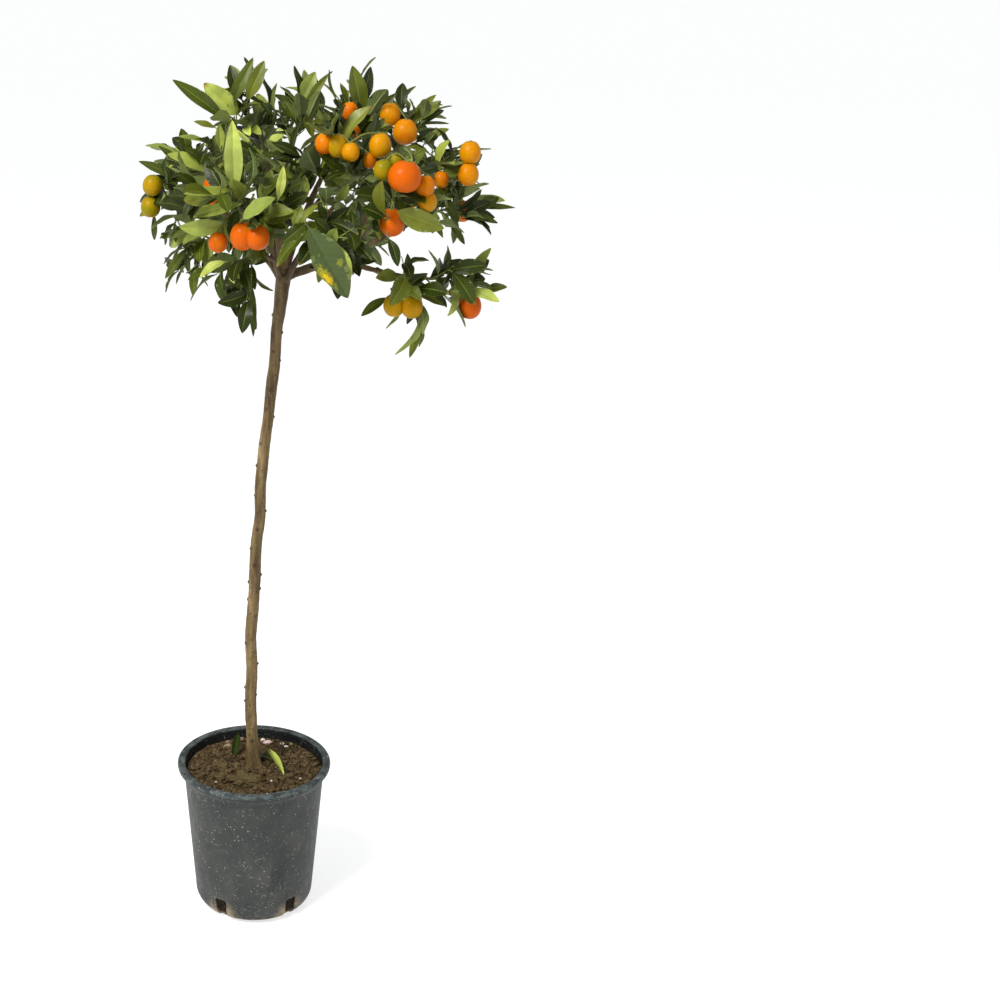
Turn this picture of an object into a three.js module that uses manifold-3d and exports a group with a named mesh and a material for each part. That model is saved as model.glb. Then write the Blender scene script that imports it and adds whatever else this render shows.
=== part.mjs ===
// A kumquat tree on a tall clear stem, standing in a plastic nursery pot.
// Millimetres, +Z up, +X to the right, -Y to the front. The origin is the centre of the pot's flat underside.

import * as THREE from "three";
import { mergeVertices } from "three/addons/utils/BufferGeometryUtils.js";
import Module from "manifold-3d";

const wasm = await Module();
wasm.setup();

// ---------------------------------------------------------------- driving dimensions

const CLEAR = 0.3; // gap between solids that meet
const MERGE = 1e-4; // corners closer than this are one corner

const POT = {
  height: 244,
  rimRadius: 120,
  rimInner: 108,
  rimEdge: 1,
  rimDrop: 9,
  rimRoll: 4,
  flareRadius: 117.5,
  neckRadius: 109,
  neckDrop: 24,
  beadOut: 1.6,
  beadHigh: 3,
  footRadius: 93,
  cornerHigh: 24,
  cornerSteps: 3,
  innerSteps: 2,
  baseRadius: 69,
  wall: 3,
  sides: 24,
};
const ROLL = { from: -20, to: 90, steps: 2 }; // degrees of the rim's rolled edge, from level to its top
const NOTCH = { count: 5, turn: 2, wide: 20, high: 40, below: 1, inner: 76, outer: 112 };

const SOIL = { top: 230, slope: 3, crown: 46 };

const TRUNK = {
  foot: [0, 5, SOIL.top + CLEAR],
  fork: [42, 10, 1012],
  bow: 16,
  skew: 0.8,
  radius: 8.4,
  lowSwell: 1.0,
  flare: 5.0,
  flareHigh: 16,
  headSwell: 2.3,
  headFrom: 0.9,
  domeHigh: 6,
  domeRadius: 7.5,
  rings: 18,
  sides: 8,
};

// Each bough: its parent limb, the place along the parent (0 foot to 1 tip), its tip,
// how far the middle rises above the straight line, and its radius at the root and at the tip.
const BOUGHS = [
  ["bough_right", "trunk", 1, [222, -12, 1094], -14, 7, 3.6],
  ["bough_centre_right", "trunk", 1, [100, -6, 1165], 22, 5.6, 3.2],
  ["bough_centre_left", "trunk", 1, [18, 4, 1176], 18, 5.6, 3.2],
  ["bough_left", "trunk", 0.99, [-48, -6, 1108], 20, 5.2, 3],
  ["bough_back_left", "trunk", 0.99, [8, 92, 1106], 14, 5.2, 3],
  ["bough_back_right", "trunk", 0.985, [122, 92, 1104], 10, 5.4, 3],
  ["bough_front_left", "trunk", 0.98, [14, -72, 1090], 12, 5, 3],
  ["bough_front_right", "trunk", 0.985, [92, -82, 1092], 12, 5, 3],
  ["bough_right_rising", "bough_right", 0.52, [188, 4, 1168], 6, 4.2, 2.6],
  ["bough_right_upper", "bough_right", 0.8, [226, -28, 1132], 0, 3.4, 2.6],
  ["bough_right_low", "bough_right", 0.42, [226, -66, 1026], -8, 4.4, 2.6],
  ["bough_right_inner", "bough_right_low", 0.5, [188, -84, 1032], 0, 3.2, 2.4],
  ["bough_right_front", "bough_right", 0.56, [168, -82, 1112], 4, 3.8, 2.6],
  ["bough_top_front", "bough_centre_right", 0.5, [106, -62, 1146], 4, 3.6, 2.6],
  ["bough_top_back", "bough_centre_right", 0.62, [112, 58, 1178], 4, 3.6, 2.6],
  ["bough_top_middle", "bough_centre_left", 0.58, [50, 18, 1182], 6, 3.6, 2.6],
  ["bough_left_upper", "bough_left", 0.5, [-42, 8, 1136], 6, 3.4, 2.6],
  ["bough_left_low", "bough_left", 0.62, [-52, -30, 1074], 0, 3.2, 2.4],
  ["bough_front_far_left", "bough_front_left", 0.6, [-12, -96, 1108], 4, 3.2, 2.4],
  ["bough_low_left", "bough_front_left", 0.45, [4, -72, 1062], -2, 3.2, 2.4],
  ["bough_back_far_left", "bough_back_left", 0.5, [-36, 84, 1112], 4, 3.4, 2.6],
  ["bough_back_low_left", "bough_back_left", 0.6, [14, 104, 1070], 0, 3.2, 2.4],
  ["bough_back_low_right", "bough_back_right", 0.55, [120, 104, 1062], 0, 3.2, 2.4],
  ["bough_heart", "bough_centre_left", 0.3, [52, -22, 1096], 2, 3.4, 2.6],
  ["bough_middle_right", "bough_right", 0.28, [118, -52, 1072], 2, 3.4, 2.6],
];
const BOUGH = { stepLength: 42, leastSteps: 3, sides: 5 };

// The crown's middle, and the box that holds the whole of it.
const HEART = [85, 0, 1095];
const CROWN = { low: [-163, -245, 915], high: [366, 245, 1317] };

// Each mass of foliage: the bough it grows from, the end of its stem, its reach around the stem,
// its side shoots, how far its leaves hang, and the seed of its growth.
const MASSES = [
  ["foliage_top_left", "bough_centre_left", [-16, 0, 1258], 84, 3, -0.25, 60],
  ["foliage_top_middle", "bough_top_middle", [62, 30, 1246], 76, 3, -0.2, 19],
  ["foliage_top_right", "bough_centre_right", [146, -10, 1252], 80, 3, -0.25, 10],
  ["foliage_top_far_right", "bough_right_rising", [213, 20, 1230], 76, 4, -0.1, 61],
  ["foliage_right_upper", "bough_right_upper", [262, -30, 1178], 76, 4, 0, 55],
  ["foliage_right_far", "bough_right", [288, 0, 1114], 84, 3, 0.05, 8],
  ["foliage_low_right", "bough_right_low", [280, -70, 1028], 76, 4, 0, 57],
  ["foliage_low_middle", "bough_right_inner", [206, -104, 1016], 92, 3, 0.25, 106],
  ["foliage_low_left", "bough_low_left", [-14, -92, 1040], 104, 3, 0.45, 107],
  ["foliage_left_low", "bough_left_low", [-92, -34, 1066], 74, 3, 0.3, 12],
  ["foliage_left_far", "bough_left", [-122, -4, 1128], 74, 3, 0, 47],
  ["foliage_left_upper", "bough_left_upper", [-84, 24, 1176], 74, 3, -0.1, 79],
  ["foliage_front_left", "bough_front_far_left", [-32, -152, 1168], 90, 3, 0, 46],
  ["foliage_front_middle", "bough_front_left", [22, -158, 1142], 78, 4, 0, 87],
  ["foliage_front_low", "bough_front_right", [84, -176, 1100], 90, 4, 0.3, 60],
  ["foliage_front_right", "bough_right_front", [184, -146, 1146], 80, 4, 0, 56],
  ["foliage_front_top", "bough_top_front", [126, -118, 1196], 78, 4, -0.1, 7],
  ["foliage_back_left", "bough_back_far_left", [-70, 134, 1148], 80, 4, 0, 69],
  ["foliage_back_middle", "bough_back_left", [20, 176, 1142], 82, 4, 0, 56],
  ["foliage_back_right", "bough_back_right", [184, 158, 1140], 84, 4, 0, 17],
  ["foliage_back_top", "bough_top_back", [116, 112, 1200], 78, 4, -0.1, 59],
  ["foliage_back_low_left", "bough_back_low_left", [-20, 150, 1060], 78, 4, 0.35, 87],
  ["foliage_back_low_right", "bough_back_low_right", [140, 164, 1052], 78, 4, 0.35, 26],
  ["foliage_heart", "bough_heart", [56, -52, 1186], 74, 4, 0, 49],
  ["foliage_middle_right", "bough_middle_right", [128, -104, 1112], 78, 4, 0, 82],
];

// Fruit: the mass that bears it, its middle and its length.
const FRUITS = [
  ["foliage_left_far", [-138, -34, 1148], 30],
  ["foliage_left_far", [-143, -30, 1118], 30],
  ["foliage_front_middle", [-15, -172, 1104], 38],
  ["foliage_front_middle", [5, -179, 1104], 34],
  ["foliage_front_left", [-46, -150, 1092], 28],
  ["foliage_left_upper", [-58, -30, 1146], 30],
  ["foliage_front_top", [92, -128, 1218], 28],
  ["foliage_front_top", [110, -134, 1216], 32],
  ["foliage_front_top", [124, -150, 1210], 26],
  ["foliage_front_top", [164, -132, 1216], 34],
  ["foliage_top_far_right", [184, -34, 1244], 32],
  ["foliage_top_far_right", [206, -44, 1222], 36],
  ["foliage_front_right", [166, -172, 1190], 28],
  ["foliage_front_right", [184, -160, 1200], 22],
  ["foliage_front_right", [196, -186, 1184], 42],
  ["foliage_front_right", [222, -172, 1170], 28],
  ["foliage_front_right", [228, -160, 1147], 28],
  ["foliage_front_right", [180, -150, 1118], 38],
  ["foliage_right_upper", [292, -62, 1197], 32],
  ["foliage_right_upper", [290, -66, 1168], 32],
  ["foliage_low_middle", [188, -120, 1000], 32],
  ["foliage_low_middle", [214, -126, 999], 32],
  ["foliage_low_right", [300, -84, 990], 36],
  ["foliage_back_left", [-66, 186, 1128], 34],
  ["foliage_back_middle", [18, 226, 1118], 36],
  ["foliage_back_right", [204, 206, 1110], 36],
  ["foliage_back_top", [112, 168, 1204], 34],
  ["foliage_back_low_left", [-30, 190, 1030], 34],
  ["foliage_back_low_right", [158, 200, 1022], 34],
  ["foliage_right_far", [300, 60, 1096], 32],
];
const FRUIT = { girth: 0.88, sides: 6, rings: 4, nearShare: 0.46, skin: 1, stemSink: 1 };

// Leaves that lead the outline: their mass, root, tip and width.
const LEADING = [
  ["foliage_top_left", [-35, -20, 1232], [-110, -35, 1290], 22],
  ["foliage_top_left", [-37, -5, 1246], [-1, 0, 1316], 18],
  ["foliage_top_left", [-11, -14, 1257], [14, -12, 1313], 21],
  ["foliage_top_left", [-46, -50, 1199], [-47, -55, 1234], 13],
  ["foliage_top_left", [-51, -30, 1225], [-82, -30, 1234], 10],
  ["foliage_top_middle", [60, 24, 1239], [29, 14, 1265], 15],
  ["foliage_top_middle", [62, 28, 1250], [85, 33, 1294], 22],
  ["foliage_top_middle", [67, 18, 1241], [103, 20, 1293], 12],
  ["foliage_top_middle", [70, 5, 1240], [82, 0, 1208], 13],
  ["foliage_top_right", [148, -14, 1236], [133, -18, 1307], 26],
  ["foliage_top_right", [135, -40, 1209], [119, -45, 1274], 18],
  ["foliage_top_right", [160, -4, 1225], [194, -12, 1270], 15],
  ["foliage_top_far_right", [215, 14, 1228], [252, 22, 1264], 12],
  ["foliage_top_far_right", [216, 2, 1227], [256, 2, 1252], 16],
  ["foliage_right_upper", [235, -22, 1207], [267, -22, 1223], 12],
  ["foliage_right_upper", [247, -45, 1158], [308, -45, 1179], 20],
  ["foliage_right_far", [281, 0, 1112], [365, -10, 1113], 12],
  ["foliage_right_far", [281, -20, 1111], [339, -30, 1095], 14],
  ["foliage_right_far", [270, -20, 1098], [295, -20, 1063], 12],
  ["foliage_right_far", [261, -24, 1129], [284, -29, 1096], 15],
  ["foliage_low_right", [295, -72, 1028], [323, -87, 1072], 14],
  ["foliage_low_right", [316, -76, 1009], [348, -84, 1017], 14],
  ["foliage_low_middle", [221, -118, 1015], [260, -138, 1002], 15],
  ["foliage_low_middle", [212, -100, 1012], [208, -100, 1067], 15],
  ["foliage_low_middle", [183, -104, 1008], [146, -114, 983], 14],
  ["foliage_low_middle", [229, -108, 978], [214, -112, 924], 12],
  ["foliage_low_left", [-37, -96, 1035], [-23, -111, 981], 18],
  ["foliage_low_left", [-13, -94, 1046], [-1, -106, 952], 12],
  ["foliage_left_low", [-90, -34, 1064], [-124, -44, 1020], 14],
  ["foliage_left_low", [-80, -44, 1043], [-86, -49, 998], 13],
  ["foliage_left_low", [-110, -32, 1098], [-109, -35, 1069], 9],
  ["foliage_left_far", [-91, -6, 1144], [-160, -8, 1177], 17],
  ["foliage_left_far", [-129, -8, 1122], [-160, -11, 1101], 14],
  ["foliage_left_far", [-140, -4, 1107], [-142, 28, 1060], 9],
  ["foliage_left_upper", [-95, 10, 1164], [-133, 10, 1196], 11],
  ["foliage_left_upper", [-94, 16, 1180], [-101, 16, 1219], 18],
  ["foliage_left_upper", [-63, 0, 1201], [-104, 0, 1210], 9],
  ["foliage_front_left", [-26, -152, 1151], [-28, -168, 1253], 25],
  ["foliage_front_left", [-25, -160, 1162], [-92, -165, 1158], 15],
  ["foliage_front_left", [-16, -160, 1144], [-79, -175, 1130], 17],
  ["foliage_front_middle", [-17, -185, 1127], [27, -210, 1161], 21],
  ["foliage_front_middle", [31, -168, 1150], [38, -176, 1196], 12],
  ["foliage_front_low", [66, -186, 1125], [123, -200, 1028], 47],
  ["foliage_front_right", [171, -166, 1126], [142, -169, 1141], 26],
  ["foliage_front_right", [186, -130, 1158], [200, -125, 1101], 15],
  ["foliage_front_right", [176, -162, 1101], [189, -177, 1065], 15],
  ["foliage_middle_right", [120, -114, 1123], [142, -119, 1093], 20],
];
const LEADING_FACE = [0.1, -0.75, 0.65]; // the side that the leading leaves turn their faces to
const LEADING_ARCH = 0.06;
const LEADING_FOLD = 0.22;

// The rule by which every mass grows.
const STEM = { radius: [2.6, 1.3], leavesFrom: 0.34, spacing: 19, points: 4, bend: 0.4 };
const SHOOT = { radius: [0.6, 0.9], leavesFrom: 0.3, spacing: 19, points: 3 };
const STALK = {
  radius: [0.6, 0.9],
  leavesFrom: 0.3,
  leavesTo: 0.75,
  leafyOver: 34,
  spacing: 19,
  points: 3,
  arch: 0.22,
  drop: 25, // how far a stalk may drop from the low places of the stem
  lowPlaces: 4,
};
const BRANCHING = {
  from: 0.15,
  run: 0.8,
  reach: [0.5, 0.78],
  taper: [1.05, 0.45],
  lean: [44, 76],
  outward: 0.22,
  hang: 0.5,
  sag: 0.25,
  leastSag: 0.05,
  lift: 0.1,
  tries: 5,
  shrink: 0.08,
  clear: 1.2,
  spurFrom: 0.3,
};
const LEAF = {
  length: 62,
  share: [0.68, 1.18],
  endShare: 1.1,
  lean: [62, 92],
  leanLoss: 22,
  endLean: [10, 28],
  wide: [0.35, 0.45],
  roll: [-0.25, 0.25],
  arch: [0.05, 0.1],
  fold: [0.12, 0.38],
  outward: 0.16,
  faceIn: 0.2,
  faceUp: 0.7,
  faceOut: 0.45,
  widestAt: 0.48,
  thick: 0.03,
  sink: 1.5,
  tries: 7,
  shrink: 0.05,
};
const TURN = 137.5; // degrees from one leaf or shoot to the next
const RETRY_TURN = 1.1; // radians that a blocked leaf or shoot turns before it tries again
const ROOM_GAP = 1.2; // gap between the spaces of two masses
const LIMB_GAP = 1.3; // gap between foliage and a limb
const LIGHT = { reach: 80, share: 0.75, outward: 0.6, front: [0, -1, 0.12] }; // open side of each fruit

const FRONT = -90; // degrees about +Z from +X to the front

const COLOURS = {
  pot: [0x3d4448, 0.62],
  soil: [0x4d3c2e, 0.95],
  bark: [0x6b5848, 0.9],
  foliage: [0x4c6a2c, 0.5],
};

// ---------------------------------------------------------------- vectors and random draws

const add = (a, b) => a.map((v, i) => v + b[i]);
const sub = (a, b) => a.map((v, i) => v - b[i]);
const scale = (a, k) => a.map((v) => v * k);
const dot = (a, b) => a[0] * b[0] + a[1] * b[1] + a[2] * b[2];
const cross = (a, b) => [a[1] * b[2] - a[2] * b[1], a[2] * b[0] - a[0] * b[2], a[0] * b[1] - a[1] * b[0]];
const size = (a) => Math.sqrt(dot(a, a));
const unit = (a) => scale(a, 1 / size(a));
const mean = (a, b) => scale(add(a, b), 0.5);
const mix = (a, b, t) => add(scale(a, 1 - t), scale(b, t));
const radians = THREE.MathUtils.degToRad;
const bezier = (a, b, c, t) => add(add(scale(a, (1 - t) ** 2), scale(b, 2 * t * (1 - t))), scale(c, t * t));
const curve = (a, b, c, points) => Array.from({ length: points }, (_, i) => bezier(a, b, c, i / (points - 1)));

// The same stream of numbers from 0 to 1 for the same seed.
function seeded(seed) {
  let state = seed >>> 0;
  return () => {
    state = (state + 0x6d2b79f5) >>> 0;
    let t = state;
    t = Math.imul(t ^ (t >>> 15), t | 1);
    t ^= t + Math.imul(t ^ (t >>> 7), t | 61);
    return ((t ^ (t >>> 14)) >>> 0) / 4294967296;
  };
}

// The point at share f of a path's steps, and the direction there.
function along(path, f) {
  const k = f * (path.length - 1);
  const i = Math.min(Math.floor(k), path.length - 2);
  return { point: mix(path[i], path[i + 1], k - i), way: unit(sub(path[i + 1], path[i])) };
}

const endWay = (path) => unit(sub(path[path.length - 1], path[path.length - 2]));

const pathLength = (path) => path.slice(1).reduce((sum, p, i) => sum + size(sub(p, path[i])), 0);

const UPRIGHT = 1e-4; // a way whose level part squared is under this counts as upright

// A direction square to way, turned about it by angle.
function around(way, angle) {
  const level = cross(way, [0, 0, 1]);
  const side = dot(level, level) < UPRIGHT ? [1, 0, 0] : unit(level);
  return add(scale(side, Math.cos(angle)), scale(cross(side, way), Math.sin(angle)));
}

// ---------------------------------------------------------------- solids

// A three.js geometry as a solid: only its positions, with shared corners merged.
function solidOf(geometry) {
  geometry.deleteAttribute("normal");
  geometry.deleteAttribute("uv");
  const merged = mergeVertices(geometry, MERGE);
  return solidFrom(merged.attributes.position.array, merged.index.array);
}

function solidFrom(positions, triangles) {
  return new wasm.Manifold(
    new wasm.Mesh({
      numProp: 3,
      vertProperties: new Float32Array(positions),
      triVerts: new Uint32Array(triangles),
    }),
  );
}

const union = (solids) => solids.reduce((all, next) => all.add(next));

// The largest body of a solid: loose scraps go, and a hollow sealed by joining is filled.
function mainBody(solid) {
  return solid.decompose().reduce((best, body) => (body.volume() > best.volume() ? body : best));
}

function meshOf(solid, name, [colour, roughness]) {
  const { vertProperties, triVerts } = solid.getMesh();
  const geometry = new THREE.BufferGeometry();
  geometry.setAttribute("position", new THREE.BufferAttribute(new Float32Array(vertProperties), 3));
  geometry.setIndex(new THREE.BufferAttribute(new Uint32Array(triVerts), 1));
  geometry.computeVertexNormals();
  const material = new THREE.MeshStandardMaterial({ color: colour, roughness, metalness: 0 });
  const mesh = new THREE.Mesh(geometry, material);
  mesh.name = name;
  return mesh;
}

// A round limb along a path, with its own radius at each point of the path.
// Its first end is cut square to the direction start.
function limbSolid(path, radii, sides, start = unit(sub(path[1], path[0]))) {
  const positions = [];
  const triangles = [];
  let side = around(start, 0);
  path.forEach((centre, i) => {
    const way = i === 0 ? start : unit(sub(path[Math.min(i + 1, path.length - 1)], path[i - 1]));
    side = unit(sub(side, scale(way, dot(side, way))));
    const up = cross(way, side);
    for (let k = 0; k < sides; k++) {
      const angle = (2 * Math.PI * k) / sides;
      const spoke = add(scale(side, Math.cos(angle)), scale(up, Math.sin(angle)));
      positions.push(...add(centre, scale(spoke, radii[i])));
    }
  });
  const last = (path.length - 1) * sides;
  for (let k = 1; k < sides - 1; k++) triangles.push(0, k + 1, k, last, last + k, last + k + 1);
  for (let i = 0; i < path.length - 1; i++)
    for (let k = 0; k < sides; k++) {
      const a = i * sides + k;
      const b = i * sides + ((k + 1) % sides);
      triangles.push(a, b, b + sides, a, b + sides, a + sides);
    }
  return solidFrom(positions, triangles);
}

const tapered = ([from, to], count) =>
  Array.from({ length: count }, (_, i) => from + ((to - from) * i) / (count - 1));

// ---------------------------------------------------------------- pot and soil

function arc(x, z, radius, { from, to, steps }) {
  return Array.from({ length: steps + 1 }, (_, i) => {
    const angle = radians(from + ((to - from) * i) / steps);
    return new THREE.Vector2(x + radius * Math.cos(angle), z + radius * Math.sin(angle));
  });
}

// Radius of the pot's outer wall at height z, above the rounded corner.
function wallRadius(z) {
  const t = (z - POT.cornerHigh) / (POT.height - POT.neckDrop - POT.cornerHigh);
  return POT.footRadius + (POT.neckRadius - POT.footRadius) * t;
}

// The rounded corner from the flat base up to the wall, set inwards by inset.
function cornerProfile(inset, steps) {
  return Array.from({ length: steps + 1 }, (_, i) => {
    const angle = ((Math.PI / 2) * i) / steps;
    const r = POT.baseRadius - inset + (POT.footRadius - POT.baseRadius) * Math.sin(angle);
    return new THREE.Vector2(r, POT.cornerHigh * (1 - Math.cos(angle)) + inset * Math.cos(angle));
  });
}

function potSolid() {
  const lip = POT.height - POT.rimDrop;
  const neck = POT.height - POT.neckDrop;
  const roll = POT.rimRadius - POT.rimRoll;
  const profile = [
    new THREE.Vector2(0, 0),
    ...cornerProfile(0, POT.cornerSteps),
    new THREE.Vector2(POT.neckRadius, neck),
    new THREE.Vector2(POT.neckRadius + POT.beadOut, neck + POT.beadHigh),
    new THREE.Vector2(POT.flareRadius, lip),
    ...arc(roll, POT.height - POT.rimRoll, POT.rimRoll, ROLL),
    new THREE.Vector2(POT.rimInner, POT.height - POT.rimEdge),
    new THREE.Vector2(POT.neckRadius - POT.wall, neck),
    ...cornerProfile(POT.wall, POT.innerSteps).reverse(),
    new THREE.Vector2(0, POT.wall),
  ];
  const shell = solidOf(upright(new THREE.LatheGeometry(profile, POT.sides)));
  return notchBoxes().reduce((pot, notch) => pot.subtract(notch), shell);
}

// Lathe geometry turns about +Y, so it is stood up to turn about +Z.
const upright = (geometry) => geometry.rotateX(Math.PI / 2);

// The drain notches run round the lower corner of the wall.
function notchBoxes() {
  const deep = NOTCH.outer - NOTCH.inner;
  return Array.from({ length: NOTCH.count }, (_, i) => {
    const box = new THREE.BoxGeometry(deep, NOTCH.wide, NOTCH.high + NOTCH.below);
    box.translate((NOTCH.inner + NOTCH.outer) / 2, 0, (NOTCH.high - NOTCH.below) / 2);
    box.rotateZ(radians(NOTCH.turn + FRONT + (360 / NOTCH.count) * (i + 0.5)));
    return solidOf(box);
  });
}

// The soil fills the pot to just under the rim, and is level where the trunk stands.
function soilSolid() {
  const inset = POT.wall + CLEAR;
  const edge = SOIL.top - SOIL.slope;
  const profile = [
    new THREE.Vector2(0, inset),
    ...cornerProfile(inset, POT.innerSteps),
    new THREE.Vector2(wallRadius(edge) - inset, edge),
    new THREE.Vector2(SOIL.crown, SOIL.top),
    new THREE.Vector2(0, SOIL.top),
  ];
  return solidOf(upright(new THREE.LatheGeometry(profile, POT.sides)));
}

// ---------------------------------------------------------------- trunk and boughs

// The trunk leans to the right in one long bow.
function trunkPoint(t) {
  const [x, y, z] = mix(TRUNK.foot, TRUNK.fork, t);
  return [x - TRUNK.bow * Math.sin(Math.PI * t ** TRUNK.skew), y, z];
}

function trunkRadius(t) {
  const high = t * (TRUNK.fork[2] - TRUNK.foot[2]);
  const head = THREE.MathUtils.smoothstep(t, TRUNK.headFrom, 1);
  const flare = TRUNK.flare * Math.exp(-high / TRUNK.flareHigh);
  return TRUNK.radius + TRUNK.lowSwell * (1 - t) ** 2 + flare + TRUNK.headSwell * head;
}

// Rings of the trunk stand closer together in the flare at its foot.
const FLARE_RINGS = [0, 0.006, 0.014, 0.025];
const trunkRings = [...FLARE_RINGS, ...Array.from({ length: TRUNK.rings }, (_, i) => (i + 1) / TRUNK.rings)];

function trunkSolid(grow) {
  const top = trunkPoint(1);
  const way = unit(sub(top, trunkPoint(1 - 1 / TRUNK.rings)));
  const path = [...trunkRings.map(trunkPoint), add(top, scale(way, TRUNK.domeHigh + grow))];
  const radii = [...trunkRings.map(trunkRadius), TRUNK.domeRadius].map((r) => r + grow);
  return limbSolid(path, radii, TRUNK.sides, [0, 0, 1]);
}

const limbs = new Map();
limbs.set("trunk", {
  path: Array.from({ length: TRUNK.rings + 1 }, (_, i) => trunkPoint(i / TRUNK.rings)),
  radius: [TRUNK.radius + TRUNK.lowSwell, TRUNK.radius + TRUNK.headSwell],
});
for (const [name, parent, at, tip, rise, thick, thin] of BOUGHS) {
  const root = along(limbs.get(parent).path, at).point;
  const middle = add(mean(root, tip), [0, 0, rise]);
  const steps = Math.max(BOUGH.leastSteps, Math.floor(size(sub(tip, root)) / BOUGH.stepLength + 0.5));
  limbs.set(name, { path: curve(root, middle, tip, steps + 1), radius: [thick, thin] });
}

// Every bough is cut back to a small gap from the limbs that were made before it.
function boughSolids() {
  const older = [{ solid: trunkSolid(0), swollen: trunkSolid(CLEAR) }];
  const made = new Map([["trunk", older[0].solid]]);
  for (const [name] of BOUGHS) {
    const { path, radius } = limbs.get(name);
    const radii = tapered(radius, path.length);
    const whole = limbSolid(path, radii, BOUGH.sides);
    const cut = older.reduce((bough, limb) => bough.subtract(limb.swollen), whole);
    made.set(name, mainBody(cut));
    const swollenRadii = radii.map((r) => r + CLEAR);
    older.push({ swollen: limbSolid(path, swollenRadii, BOUGH.sides) });
  }
  return made;
}

// ---------------------------------------------------------------- room for the foliage

// Each stem runs on from its bough's tip, bending over to its own end.
const stems = new Map();
for (const [name, bough, end] of MASSES) {
  const { path } = limbs.get(bough);
  const way = endWay(path);
  const root = add(path[path.length - 1], scale(way, CLEAR));
  const middle = add(root, scale(way, STEM.bend * size(sub(end, root))));
  stems.set(name, curve(root, middle, end, STEM.points));
}

// Distance from a point to a piece of a path, and the share of that piece where it is nearest.
function toPiece(point, from, to) {
  const step = sub(to, from);
  const share = Math.min(Math.max(dot(sub(point, from), step) / dot(step, step), 0), 1);
  return { distance: size(sub(point, add(from, scale(step, share)))), share };
}

const toPath = (point, path) =>
  path.slice(1).reduce((near, p, i) => Math.min(near, toPiece(point, path[i], p).distance), Infinity);

// A mass's own space holds the points that lie nearer its stem than any other stem, within its reach.
function inSpace(name, reach, point, clear) {
  const own = toPath(point, stems.get(name));
  if (own > reach) return false;
  for (const [other, path] of stems)
    if (other !== name && toPath(point, path) <= own + ROOM_GAP + 2 * clear) return false;
  return point.every((v, i) => v >= CROWN.low[i] && v <= CROWN.high[i]);
}

function clearOfLimbs(point, clear) {
  for (const { path, radius } of limbs.values()) {
    const radii = tapered(radius, path.length);
    for (let i = 0; i < path.length - 1; i++) {
      const { distance, share } = toPiece(point, path[i], path[i + 1]);
      if (distance < radii[i] + (radii[i + 1] - radii[i]) * share + LIMB_GAP + clear) return false;
    }
  }
  return true;
}

// The way that a fruit's open side faces: outwards, and on the front half forwards too.
function openSide(centre) {
  const outward = unit([centre[0] - HEART[0], centre[1] - HEART[1], 0]);
  return centre[1] < 0 ? unit(add(scale(outward, LIGHT.outward), LIGHT.front)) : outward;
}

// No leaf cuts into a fruit or hangs close before its open side.
function clearOfFruit(point) {
  return FRUITS.every(([, centre, long]) => {
    const radius = long * FRUIT.nearShare;
    const gap = sub(point, centre);
    const before = dot(gap, openSide(centre));
    const beside = dot(gap, gap) - before * before;
    const shades = before > 0 && before < LIGHT.reach && beside < (LIGHT.share * radius) ** 2;
    return size(gap) >= radius + FRUIT.skin && !shades;
  });
}

const hasRoom = (name, reach, points, clear) =>
  points.every((p) => inSpace(name, reach, p, clear) && clearOfLimbs(p, clear) && clearOfFruit(p));

// ---------------------------------------------------------------- growth of one mass

function leafShape(root, way, face, long, wide, arch, fold) {
  const up = unit(sub(face, scale(way, dot(face, way))));
  const side = cross(way, up);
  const half = (long * wide) / 2;
  const middle = add(add(root, scale(way, long * LEAF.widestAt)), scale(up, long * arch + half * fold));
  return {
    root,
    tip: add(root, scale(way, long)),
    ridge: add(add(root, scale(way, long / 2)), scale(up, long * arch)),
    left: sub(middle, scale(side, half)),
    right: add(middle, scale(side, half)),
    up,
    long,
  };
}

const leafProbes = ({ root, tip, ridge, left, right }) => [
  ridge,
  mean(ridge, tip),
  tip,
  left,
  right,
  mean(left, tip),
  mean(right, tip),
  mean(root, left),
  mean(root, right),
];

const leafEdges = ({ root, tip, ridge, left, right }) => [
  [root, left],
  [left, tip],
  [tip, right],
  [right, root],
  [root, ridge],
  [ridge, tip],
  [left, ridge],
  [right, ridge],
];

const leafFaces = ({ root, tip, ridge, left, right }) => [
  [root, left, ridge],
  [left, tip, ridge],
  [tip, right, ridge],
  [right, root, ridge],
];

const twigSteps = ({ path }) => path.slice(1).map((point, i) => [path[i], point]);

// Six times the volume of the tetrahedron a, b, c, d.
const bulk = (a, b, c, d) => dot(cross(sub(b, a), sub(c, a)), sub(d, a));

function cuts([p, q], [a, b, c]) {
  if (bulk(a, b, c, p) * bulk(a, b, c, q) >= 0) return false;
  const first = bulk(p, q, a, b);
  const second = bulk(p, q, b, c);
  return first * second > 0 && second * bulk(p, q, c, a) > 0;
}

const anyCuts = (edges, faces) => edges.some((edge) => faces.some((face) => cuts(edge, face)));

// Whether a leaf would cut through a leaf or through a twig that it doesn't grow on.
const crossesAny = (leaf, leaves, twigs) =>
  twigs.some((twig) => anyCuts(twigSteps(twig), leafFaces(leaf))) ||
  leaves.some((other) => anyCuts(leafEdges(leaf), leafFaces(other)) || anyCuts(leafEdges(other), leafFaces(leaf)));

const PLACES = 10; // places along a twig where a stalk or a spur can leave it

// The place on the twigs that lies nearest to a point.
function nearestPlace(twigs, target, allowed) {
  let best = { distance: Infinity };
  for (const twig of twigs)
    for (let place = 1; place <= PLACES; place++) {
      const { point } = along(twig.path, place / PLACES);
      const distance = size(sub(point, target));
      if (distance < best.distance && allowed(twig, place, point)) best = { point, distance };
    }
  return best;
}

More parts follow.
